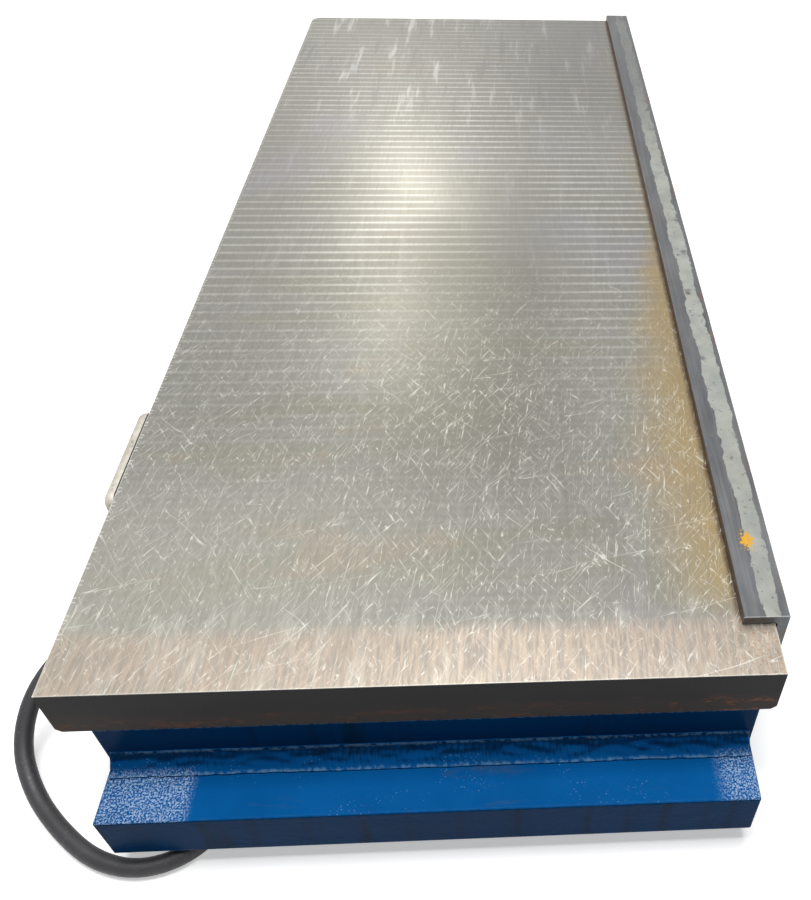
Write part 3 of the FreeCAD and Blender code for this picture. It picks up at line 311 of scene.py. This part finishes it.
def end_block(m, x, y, colour, fine, blotch):
    """A brown-pink band over the solid end block, with pale strokes and rust in its right corner."""
    band = m.times(m.ramp(y, POLES_END + 0.0095, POLES_END - 0.0065), m.ramp(fine, 0.35, 0.6, 0.45, 0.9))
    colour = m.mix(band, colour, (0.47, 0.385, 0.305))
    strokes = m.noise(62, 3, 0.6, m.moved(scale=(1, 0.25, 0), shift=(2, 2, 0)))
    pale = m.times(m.ramp(strokes, 0.50, 0.66), m.ramp(y, -0.435, -0.470), 0.22)
    colour = m.mix(pale, colour, (0.70, 0.68, 0.60))
    corner = m.times(m.ramp(x, 0.170, 0.205), m.ramp(y, -0.455, -0.474))
    rust = m.times(m.ramp(m.noise(520, 3, 0.7), 0.54, 0.66), m.ramp(blotch, 0.35, 0.6, 0.3, 1))
    where = m.plus(m.times(corner, 0.7), m.times(band, 0.25))
    return m.mix(m.times(rust, where), colour, (0.36, 0.17, 0.07))


def work_face(m, x, y, tint):
    """The work face's colour, with the noises and the stain that its gloss follows."""
    broad = m.noise(4.0, 3, 0.5, m.moved(scale=(1, 1, 0)))
    fine = m.noise(420, 3, 0.65, m.moved(scale=(1, 0.10, 0)))
    banded = m.noise(8, 4, 0.55, m.moved(scale=(0.45, 1.9, 0), shift=(3, 1, 0)))
    blotch = m.noise(12, 5, 0.6, m.moved(scale=(0.6, 1.3, 0), shift=(7, 2, 0)))
    colour = m.mix(m.ramp(broad, 0.35, 0.65), tint, tuple(0.84 * part for part in tint))
    colour = stripes_and_reflection(m, y, colour)
    colour = streaked(m, x, y, colour)
    colour = clouded(m, x, y, colour, banded, blotch)
    colour, stain = oiled(m, x, y, colour, banded)
    colour = end_block(m, x, y, colour, fine, blotch)
    colour = m.mix(m.ramp(fine, 0.3, 0.7, 0.30, 0.0), colour, (0.16, 0.155, 0.145))
    return colour, broad, fine, stain


SCRATCHES = (
    # turn, length, apart, thin, keep, seed
    (1.02, 0.024, 0.0020, 0.018, 0.53, 3.1),
    (0.85, 0.050, 0.0040, 0.009, 0.55, 1.7),
    (-1.00, 0.022, 0.0019, 0.018, 0.54, 8.4),
    (-0.75, 0.075, 0.0050, 0.007, 0.57, 5.2),
    (1.45, 0.020, 0.0016, 0.022, 0.53, 5.7),
    (0.25, 0.090, 0.0070, 0.006, 0.58, 6.6),
)


def scratched(m, y):
    """How far a point lies in a scratch: strongest near the front, none in the far half."""
    marks = None
    for family in SCRATCHES:
        lines = scratches(m, *family)
        marks = lines if marks is None else m.largest(marks, lines)
    return m.times(marks, m.ramp(y, 0.02, -0.34, 0.0, 0.70))


def scaled_sides(m, x, z):
    """Dark scale, browner towards the bottom, with rust blooms."""
    side = m.mix(m.ramp(m.noise(30, 4, 0.6), 0.35, 0.7), (0.004, 0.0035, 0.003), (0.010, 0.008, 0.007))
    side = m.mix(m.ramp(z, 0.110, 0.092, 0.0, 0.6), side, (0.030, 0.019, 0.014))
    bloom = m.noise(60, 4, 0.65, m.moved(scale=(1, 1, 2.5)))
    low = m.times(m.ramp(bloom, 0.52, 0.66), m.ramp(z, 0.108, 0.092))
    side = m.mix(m.times(low, 0.6), side, (0.10, 0.035, 0.014))
    return m.mix(m.times(low, m.ramp(x, 0.11, 0.19), 0.9), side, (0.22, 0.08, 0.03))


def ground_steel(name, tint):
    """Surface-ground steel with stains, scratches and rust; dark scale on its sides."""
    m = Nodes(name)
    x, y, z = m.axes()
    top = m.ramp(m.facing()[2], 0.6, 0.9)
    colour, broad, fine, stain = work_face(m, x, y, tint)
    marks = scratched(m, y)
    colour = m.mix(marks, colour, (0.74, 0.73, 0.66))
    colour = m.mix(top, scaled_sides(m, x, z), colour)
    side_border = m.ramp(m.away(x, PLATE_MIDDLE), PLATE_HALF_WIDTH - 0.003, PLATE_HALF_WIDTH - 0.002)
    end_border = m.ramp(m.away(y), PLATE_HALF_LENGTH - 0.003, PLATE_HALF_LENGTH - 0.002)
    border = m.largest(side_border, end_border)
    lip = m.times(m.edges(0.0014), m.ramp(z, WORK_FACE - 0.002, WORK_FACE - 0.0004), border)
    colour = m.mix(m.times(lip, 0.85), colour, (0.80, 0.79, 0.72))
    rough = m.plus(m.ramp(broad, 0.3, 0.7, 0.30, 0.40), m.times(stain, 0.15))
    rough = m.ramp(top, 0.0, 1.0, 0.85, rough)
    height = m.minus(m.times(fine, 0.6), m.times(marks, 0.7))
    metal = m.ramp(top, 0.0, 1.0, 0.0, 0.60)
    return m.finish(colour, rough, metal, m.bump(height, 0.14, 0.0004))


def blue_enamel():
    """Thick blue enamel: orange peel, runs, scuffs and dirt on the ledge, with painted shade on the side
    faces, painted speckle highlights on the ledge and a painted highlight along the edges.
    """
    m = Nodes("blue_enamel")
    x, y = m.axes()[:2]
    top = m.ramp(m.facing()[2], 0.45, 0.85)
    cloud = m.noise(9, 4, 0.55)
    colour = m.mix(m.ramp(cloud, 0.3, 0.7), (0.0015, 0.070, 0.235), (0.002, 0.092, 0.30))
    # painted shade: the faces that do not face up are darkened to navy
    colour = m.mix(m.ramp(top, 0, 1, 0.70, 0.0), colour, (0.001, 0.012, 0.034))
    drag = m.noise(60, 3, 0.6, m.moved(scale=(1, 1, 0.08)))
    dragged = m.times(m.ramp(drag, 0.5, 0.72), m.ramp(top, 0, 1, 0.75, 0))
    colour = m.mix(dragged, colour, (0.006, 0.020, 0.045))
    dirt = m.noise(38, 4, 0.62, m.moved(scale=(0.35, 1.4, 1)))
    colour = m.mix(m.times(m.ramp(dirt, 0.60, 0.74), top, 0.40), colour, (0.045, 0.075, 0.12))
    # light blue specks on the top faces: a painted speckle highlight
    dust = m.ramp(m.cells(520), 0.22, 0.10)
    speckle_highlight = m.times(dust, m.ramp(m.noise(34, 3, 0.6), 0.50, 0.66), top)
    colour = m.mix(m.times(speckle_highlight, 0.5), colour, (0.30, 0.46, 0.66))
    # flatted, bright speckled paint at the two ends of the near ledge
    left_end = m.ramp(x, BASE_LOW[0] + 0.054, BASE_LOW[0] + 0.046)
    right_end = m.ramp(x, BASE_HIGH[0] - 0.028, BASE_HIGH[0] - 0.014)
    ends = m.times(m.largest(left_end, right_end), m.ramp(y, BASE_LOW[1] + 0.033, BASE_LOW[1] + 0.027), top)
    spray = m.ramp(m.noise(900, 3, 0.7), 0.46, 0.60)
    colour = m.mix(m.times(ends, spray, 0.75), colour, (0.42, 0.55, 0.74))
    # lighter blue along sharp edges and the weld's ripples, broken by noise: a painted edge highlight
    edge_highlight = m.times(m.edges(0.0022), m.ramp(m.noise(260, 3, 0.7), 0.40, 0.56))
    colour = m.mix(m.times(edge_highlight, 0.35), colour, (0.22, 0.42, 0.60))
    height = m.plus(m.times(m.noise(330, 2, 0.45), 0.7), m.noise(70, 2, 0.5))
    rough = m.plus(m.ramp(cloud, 0.3, 0.7, 0.20, 0.30), m.times(ends, 0.2))
    return m.finish(colour, rough, 0.0, m.bump(height, 0.35, 0.0007), Specular_IOR_Level=0.01)


def worn_paint(m, x, y):
    """Share of the ragged, pitted grey band along the rail's top, fuller in the near half."""
    ragged = m.noise(85, 4, 0.62, m.moved(scale=(1.0, 0.45, 0)))
    across = m.plus(x, m.times(m.minus(ragged, 0.5), 0.011))
    band = m.times(m.ramp(across, RAIL_INNER + 0.0112, RAIL_INNER + 0.0118),
                   m.ramp(across, RAIL_OUTER - 0.0039, RAIL_OUTER - 0.0045))
    gaps = m.noise(24, 3, 0.6, m.moved(scale=(1, 1, 0), shift=(2, 5, 0)))
    pits = m.ramp(m.noise(300, 3, 0.65), 0.60, 0.68)
    return m.times(band, m.ramp(gaps, 0.34, 0.40), m.ramp(y, 0.30, 0.02, 0.30, 1.0),
                   m.minus(1, m.times(pits, 0.8)))


def layout_paint(m, x, y, top, colour):
    """Yellow layout paint: one long dab near the front and a few specks."""
    aside, along = m.minus(x, RAIL_INNER + 0.0121), m.minus(y, -0.4160)
    far = m.math("SQRT", m.plus(m.times(aside, aside), m.times(along, along, 0.35)))
    dab = m.plus(far, m.times(m.minus(m.noise(420, 4, 0.7), 0.5), 0.016))
    colour = m.mix(m.ramp(dab, 0.0042, 0.0030), colour, (0.62, 0.33, 0.02))
    specks = m.times(m.ramp(m.cells(120), 0.10, 0.07), m.ramp(m.noise(14, 2), 0.56, 0.64))
    return m.mix(m.times(specks, top), colour, (0.35, 0.22, 0.06))


def rust_and_inner_shade(m, x, top, colour):
    """Rust on the rail's outer side, thin over its top, and painted shade, dark brown, on its inner side.
    """
    cloud = m.noise(55, 5, 0.66, m.moved(scale=(1, 0.5, 1)))
    outer = m.ramp(x, RAIL_OUTER - 0.0030, RAIL_OUTER - 0.0003)
    rust = m.times(m.ramp(cloud, 0.48, 0.62), m.plus(m.times(outer, 0.6), 0.06))
    colour = m.mix(rust, colour, (0.17, 0.075, 0.03))
    # painted shade: the rail's inner side face is darkened to dark brown
    inner = m.times(m.ramp(x, RAIL_INNER + 0.0004, RAIL_INNER + 0.0001), m.minus(1, top))
    return m.mix(m.times(inner, 0.8), colour, (0.10, 0.06, 0.035))


def rail_steel():
    """Mill-scaled angle with a worn band of grey paint, bright rubbed edges and rust outside."""
    m = Nodes("rail_steel")
    x, y, z = m.axes()
    top = m.ramp(m.facing()[2], 0.6, 0.9)
    scale = m.noise(40, 4, 0.6, m.moved(scale=(1, 0.35, 1)))
    colour = m.mix(m.ramp(scale, 0.3, 0.7), (0.085, 0.090, 0.098), (0.130, 0.136, 0.142))
    drawn = m.noise(400, 2, 0.6, m.moved(scale=(1, 0.02, 1)))
    colour = m.mix(m.ramp(drawn, 0.4, 0.7, 0.0, 0.35), colour, (0.20, 0.205, 0.21))
    band = worn_paint(m, x, y)
    grey = m.mix(m.ramp(m.noise(50, 3, 0.6), 0.3, 0.7), (0.27, 0.285, 0.265), (0.36, 0.37, 0.33))
    colour = m.mix(m.times(band, top), colour, grey)
    colour = layout_paint(m, x, y, top, colour)
    colour = rust_and_inner_shade(m, x, top, colour)
    upper = m.ramp(z, RAIL_TOP - 0.0017, RAIL_TOP - 0.0009)
    rubbed = m.times(m.edges(0.0012), upper, m.ramp(m.noise(70, 3, 0.6), 0.30, 0.50, 0.35, 1))
    colour = m.mix(m.times(rubbed, 0.8), colour, (0.62, 0.63, 0.63))
    rough = m.plus(m.ramp(scale, 0.3, 0.7, 0.38, 0.52), m.times(band, 0.12))
    metal = m.minus(0.6, m.times(band, top, 0.55))
    height = m.plus(m.times(band, 0.8), m.times(scale, 0.3))
    return m.finish(colour, rough, metal, m.bump(height, 0.4, 0.0005))


def cast_alloy():
    """Sand-cast light alloy, beige with pink and grey mottling."""
    m = Nodes("cast_alloy")
    patch = m.noise(45, 5, 0.65)
    colour = m.mix(m.ramp(patch, 0.32, 0.68), (0.46, 0.43, 0.36), (0.68, 0.65, 0.57))
    pink = m.noise(70, 4, 0.6, m.moved(shift=(4, 1, 2)))
    colour = m.mix(m.times(m.ramp(pink, 0.54, 0.66), 0.5), colour, (0.44, 0.33, 0.27))
    grime = m.noise(160, 4, 0.7)
    colour = m.mix(m.times(m.ramp(grime, 0.56, 0.70), 0.6), colour, (0.15, 0.13, 0.11))
    # painted shade: faces that turn downward are darkened
    underside_shade = m.ramp(m.facing()[2], 0.1, -0.5)
    colour = m.mix(m.times(underside_shade, 0.5), colour, (0.10, 0.09, 0.08))
    edge = m.times(m.edges(0.002), m.ramp(grime, 0.4, 0.6))
    colour = m.mix(m.times(edge, 0.4), colour, (0.62, 0.60, 0.55))
    height = m.plus(m.noise(520, 3, 0.6), m.times(patch, 1.2))
    return m.finish(colour, m.ramp(grime, 0.3, 0.7, 0.48, 0.66), 0.35, m.bump(height, 0.55, 0.0007))


def rubber(name, colour, ridge=0.0):
    """Matt rubber with scuffs, dust and faint moulding."""
    m = Nodes(name)
    cloud = m.noise(35, 4, 0.6)
    shade = m.mix(m.ramp(cloud, 0.3, 0.7), colour, tuple(1.5 * part for part in colour))
    scuff = m.noise(240, 4, 0.7)
    shade = m.mix(m.times(m.ramp(scuff, 0.58, 0.72), 0.30), shade, (0.16, 0.16, 0.165))
    dust = m.times(m.ramp(m.cells(380), 0.20, 0.08), m.ramp(cloud, 0.50, 0.70))
    shade = m.mix(m.times(dust, 0.3), shade, (0.22, 0.21, 0.20))
    height = m.plus(m.noise(700, 2, 0.5), m.times(scuff, ridge))
    return m.finish(shade, m.ramp(scuff, 0.3, 0.7, 0.44, 0.62), 0.0, m.bump(height, 0.25, 0.0003))


def plain_metal(name, dark, light, rough, metal=0.9, stretch=(1, 1, 1)):
    """Machined or plated metal: fine tool marks, clouding, and grime in patches."""
    m = Nodes(name)
    cloud = m.noise(50, 4, 0.6)
    colour = m.mix(m.ramp(cloud, 0.3, 0.7), dark, light)
    marks = m.noise(900, 2, 0.6, m.moved(scale=stretch))
    colour = m.mix(m.ramp(marks, 0.35, 0.65, 0.0, 0.3), colour, tuple(0.6 * part for part in dark))
    grime = m.ramp(m.noise(120, 5, 0.68), 0.58, 0.74)
    colour = m.mix(m.times(grime, 0.45), colour, (0.05, 0.035, 0.025))
    edge = m.edges(0.001)
    colour = m.mix(m.times(edge, 0.4), colour, tuple(min(1, 1.5 * part) for part in light))
    gloss = m.plus(m.ramp(cloud, 0.3, 0.7, rough - 0.06, rough + 0.08), m.times(grime, 0.2))
    return m.finish(colour, gloss, metal, m.bump(marks, 0.2, 0.0002))


def moulded(name, dark, light, rough=0.45, grain=600):
    """Moulded or laid-up insulation: fine texture with dust and handling marks."""
    m = Nodes(name)
    cloud = m.noise(40, 4, 0.6)
    colour = m.mix(m.ramp(cloud, 0.3, 0.7), dark, light)
    speck = m.noise(grain, 3, 0.6)
    colour = m.mix(m.ramp(speck, 0.55, 0.7, 0, 0.35), colour, tuple(min(1, 1.8 * part) for part in light))
    return m.finish(colour, m.ramp(cloud, 0.3, 0.7, rough, rough + 0.12), 0.0, m.bump(speck, 0.3, 0.0003))


def winding():
    """Enamelled wire, turn by turn, with painted shade in the grooves between turns."""
    m = Nodes("winding")
    z = m.axes()[2]
    turns = m.math("SINE", m.times(z, 2 * math.pi / 0.0016))
    cloud = m.noise(60, 3, 0.6)
    colour = m.mix(m.ramp(cloud, 0.3, 0.7), (0.36, 0.13, 0.045), (0.50, 0.20, 0.07))
    # painted shade: the grooves between turns are darkened
    colour = m.mix(m.ramp(turns, -1, 0, 0.7, 0.0), colour, (0.06, 0.02, 0.01))
    return m.finish(colour, 0.35, 0.7, m.bump(turns, 0.5, 0.0006))


looks = {
    "ground_steel": ground_steel("ground_steel", (0.265, 0.260, 0.232)),
    "separator_metal": ground_steel("separator_metal", (0.285, 0.280, 0.252)),
    "blue_paint": blue_enamel(),
    "rail_steel": rail_steel(),
    "cast_alloy": cast_alloy(),
    "bare_steel": plain_metal("bare_steel", (0.20, 0.20, 0.20), (0.32, 0.32, 0.31), 0.42,
                              stretch=(1, 0.02, 1)),
    "core_iron": plain_metal("core_iron", (0.16, 0.16, 0.165), (0.26, 0.26, 0.26), 0.45),
    "black_oxide": plain_metal("black_oxide", (0.018, 0.018, 0.020), (0.05, 0.05, 0.052), 0.42, 0.6),
    "zinc_steel": plain_metal("zinc_steel", (0.40, 0.40, 0.39), (0.55, 0.55, 0.53), 0.36),
    "brass": plain_metal("brass", (0.45, 0.30, 0.10), (0.62, 0.44, 0.17), 0.30),
    "copper_winding": winding(),
    "insulation": moulded("insulation", (0.42, 0.33, 0.17), (0.55, 0.45, 0.26), 0.5, 300),
    "resin": moulded("resin", (0.035, 0.022, 0.016), (0.06, 0.04, 0.03), 0.3, 120),
    "gasket_rubber": rubber("gasket_rubber", (0.018, 0.018, 0.018)),
    "cable_rubber": rubber("cable_rubber", (0.020, 0.020, 0.022), 0.5),
    "plug_rubber": rubber("plug_rubber", (0.020, 0.020, 0.021), 0.3),
    "black_plastic": moulded("black_plastic", (0.018, 0.018, 0.020), (0.032, 0.032, 0.034), 0.38, 900),
    "strap": rubber("strap", (0.022, 0.022, 0.024), 1.5),
    "lead_wire": moulded("lead_wire", (0.30, 0.02, 0.015), (0.42, 0.035, 0.025), 0.35, 800),
}


def dress(piece, look):
    piece.data.materials.clear()
    piece.data.materials.append(look)


for part in frame["record"]["subparts"]:
    if part["node"] in nodes:
        dress(nodes[part["node"]], looks[part["material_slot"]])

# ---------------------------------------------------------------- supply cable

CABLE = 0.011
# in millimetres, as in the part's source
ROUTE = [
    (-200.0, -371.0, 56.5),
    (-206.0, -399.0, 56.0),
    (-226.0, -425.0, 50.0),
    (-244.0, -449.0, 37.0),
    (-248.5, -476.0, 19.0),
    (-236.0, -502.0, 7.0),
    (-213.0, -526.0, 5.5),
    (-186.0, -546.0, 5.5),
    (-157.0, -553.0, 5.5),
    (-129.0, -543.0, 5.5),
    (-111.0, -518.0, 5.5),
    (-103.0, -482.0, 5.5),
    (-93.0, -432.0, 5.5),
    (-76.0, -368.0, 5.5),
    (-54.0, -284.0, 5.5),
    (-32.0, -160.0, 5.5),
    (-14.0, -20.0, 5.5),
    (-8.0, 124.0, 5.5),
    (-12.0, 262.0, 5.5),
    (-24.0, 384.0, 5.5),
    (-39.0, 474.0, 5.5),
    (-51.0, 538.0, 6.5),
    (-55.0, 595.0, 6.5),
]
END_ROUTE = [
    (58.0, 708.0, 17.5),
    (79.0, 707.5, 17.4),
    (100.0, 703.0, 16.8),
    (119.0, 695.0, 16.0),
]
COIL_MIDDLE = (13.0, 640.0)
COIL_OUTER = 68.0
COIL_LOW, COIL_HIGH = 6.5, 17.5
COIL_TURNS = 3.25
COIL_STEP_IN = 10.6
STEPS = 16


def eased(turns, start):
    """0 before the start, 1 from three tenths of a turn after it."""
    return max(0.0, min(1.0, (turns - start) / 0.3))


def coil_points():
    """Turns from the left side, clockwise from above: one outside, one inside, then up and out."""
    points = []
    count = int(COIL_TURNS * STEPS)
    for step in range(1, count):
        turns = step / STEPS
        angle = math.pi - 2 * math.pi * turns
        inner = eased(turns, 0.85) - eased(turns, 2.1)
        lift = eased(turns, 1.6)
        radius = COIL_OUTER / math.cos(math.pi / STEPS) - COIL_STEP_IN * inner
        points.append((COIL_MIDDLE[0] + radius * math.cos(angle), COIL_MIDDLE[1] + radius * math.sin(angle),
                       COIL_LOW + (COIL_HIGH - COIL_LOW) * lift))
    return points


def make_cable():
    data = bpy.data.curves.new("supply_cable", "CURVE")
    data.dimensions = "3D"
    data.bevel_depth = CABLE / 2
    data.bevel_resolution = 6
    data.use_fill_caps = True
    data.resolution_u = 6
    route = ROUTE + coil_points() + END_ROUTE
    spline = data.splines.new("NURBS")
    spline.points.add(len(route) - 1)
    for point, place in zip(spline.points, route):
        point.co = (*(number / 1000 for number in place), 1)
    spline.order_u = 3
    spline.use_endpoint_u = True
    cable = bpy.data.objects.new("supply_cable", data)
    bpy.context.collection.objects.link(cable)
    dress(cable, looks["cable_rubber"])
    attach(cable, "root")
    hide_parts("cable_run", "cable_coil", "cable_end")


make_cable()

# ---------------------------------------------------------------- weld beads

BASE_TOP = BASE_HIGH[2]
BEAD_POINTS = 16
BEAD_STEP = 0.0008
RIPPLE_PITCH = 0.0042


def bead_section(share, leg):
    """A point of the bead from the wall, share 0, to its toe on the ledge, share 1."""
    turn = share * math.pi / 2
    bulge = 0.10 * math.sin(2 * turn)
    return leg * (1 - math.cos(turn) + bulge), leg * (1 - math.sin(turn) + bulge)


def make_bead(node, out):
    """A hand-laid bead under the paint: lumps, close ripples and a wandering toe."""
    low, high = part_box(node)
    wall = high[1] if out < 0 else low[1]
    leg = high[2] - low[2]
    mesh = bpy.data.meshes.new(node + "_bead")
    form = bmesh.new()
    rows = []
    count = int((high[0] - low[0]) / BEAD_STEP)
    for number in range(count + 1):
        along = low[0] + (high[0] - low[0]) * number / count
        slow = noise.noise((along * 18, out * 3, 0))
        toe = leg * (0.93 + 0.05 * slow + 0.04 * noise.noise((along * 140, 5, out)))
        row = []
        for part in range(BEAD_POINTS + 1):
            share = part / BEAD_POINTS
            y, z = bead_section(share, toe)
            swell = math.sin(math.pi * share)
            ripple = math.sin((along + 0.002 * swell) * 2 * math.pi / RIPPLE_PITCH)
            lump = noise.noise((along * 90, share * 4, out * 7))
            push = swell * (0.0004 * ripple * (0.6 + slow) + 0.0007 * lump)
            row.append(form.verts.new((along, wall + out * (y + push), BASE_TOP + z + push)))
        rows.append(row + [form.verts.new((along, wall, BASE_TOP))])
    for one, two in zip(rows, rows[1:]):
        for part in range(len(one)):
            following = (part + 1) % len(one)
            form.faces.new((one[part], two[part], two[following], one[following]))
    for row in (rows[0], rows[-1]):
        form.faces.new(row)
    bmesh.ops.recalc_face_normals(form, faces=form.faces)
    form.to_mesh(mesh)
    form.free()
    for face in mesh.polygons:
        face.use_smooth = len(face.vertices) == 4
    bead = bpy.data.objects.new(node + "_bead", mesh)
    bpy.context.collection.objects.link(bead)
    dress(bead, looks["blue_paint"])
    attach(bead, "root")
    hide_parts(node)


make_bead("weld_front", -1)
make_bead("weld_rear", 1)

# ---------------------------------------------------------------- floor and light


FLOOR_REACH = 12
FLOOR_DROP = 0.0002
FLOOR_GLOW = 0.45
SKY_LIGHT = 0.10


def seen_share(tree):
    """1 for a ray from the camera, or by way of a mirror or glass."""
    path = tree.nodes.new("ShaderNodeLightPath")
    share = path.outputs["Is Camera Ray"]
    for name in ("Is Glossy Ray", "Is Transmission Ray"):
        both = tree.nodes.new("ShaderNodeMath")
        both.operation = "MAXIMUM"
        tree.links.new(share, both.inputs[0])
        tree.links.new(path.outputs[name], both.inputs[1])
        share = both.outputs[0]
    return share


def make_floor():
    mesh = bpy.data.meshes.new("floor")
    form = bmesh.new()
    bmesh.ops.create_grid(form, x_segments=2, y_segments=2, size=FLOOR_REACH)
    form.to_mesh(mesh)
    form.free()
    floor = bpy.data.objects.new("floor", mesh)
    floor.location = (0, 0, lo0[2] - FLOOR_DROP)
    bpy.context.collection.objects.link(floor)
    material = bpy.data.materials.new("floor")
    material.use_nodes = True
    tree = material.node_tree
    tree.nodes.clear()
    output = tree.nodes.new("ShaderNodeOutputMaterial")
    both = tree.nodes.new("ShaderNodeAddShader")
    matt = tree.nodes.new("ShaderNodeBsdfDiffuse")
    matt.inputs["Color"].default_value = (0.90, 0.90, 0.90, 1)
    glow = tree.nodes.new("ShaderNodeEmission")
    lift = tree.nodes.new("ShaderNodeMath")
    lift.operation = "MULTIPLY"
    lift.inputs[1].default_value = FLOOR_GLOW
    tree.links.new(seen_share(tree), lift.inputs[0])
    tree.links.new(lift.outputs[0], glow.inputs["Strength"])
    tree.links.new(matt.outputs[0], both.inputs[0])
    tree.links.new(glow.outputs[0], both.inputs[1])
    tree.links.new(both.outputs[0], output.inputs["Surface"])
    dress(floor, material)


def white_world():
    world = bpy.data.worlds.new("world")
    bpy.context.scene.world = world
    world.use_nodes = True
    tree = world.node_tree
    tree.nodes.clear()
    output = tree.nodes.new("ShaderNodeOutputWorld")
    mixer = tree.nodes.new("ShaderNodeMixShader")
    seen = tree.nodes.new("ShaderNodeBackground")
    seen.inputs["Color"].default_value = (1, 1, 1, 1)
    light = tree.nodes.new("ShaderNodeBackground")
    light.inputs["Color"].default_value = (0.92, 0.96, 1.0, 1)
    light.inputs["Strength"].default_value = SKY_LIGHT
    tree.links.new(seen_share(tree), mixer.inputs["Fac"])
    tree.links.new(light.outputs[0], mixer.inputs[1])
    tree.links.new(seen.outputs[0], mixer.inputs[2])
    tree.links.new(mixer.outputs[0], output.inputs[0])


def area(name, place, target, size, power, colour=(1, 1, 1)):
    data = bpy.data.lights.new(name, "AREA")
    data.shape = "RECTANGLE"
    data.size, data.size_y = size
    data.energy = power
    data.color = colour
    lamp = bpy.data.objects.new(name, data)
    lamp.location = place
    lamp.rotation_euler = (Vector(target) - Vector(place)).to_track_quat("-Z", "Y").to_euler()
    bpy.context.collection.objects.link(lamp)


make_floor()
white_world()
area("overhead", (0.0, -0.30, 2.4), (0.0, -0.2, 0.1), (1.4, 1.0), 64)
area("tube", (-0.215, 1.50, 1.19), (-0.022, 0.052, 0.125), (0.06, 0.42), 3.6, (1.0, 0.95, 0.84))
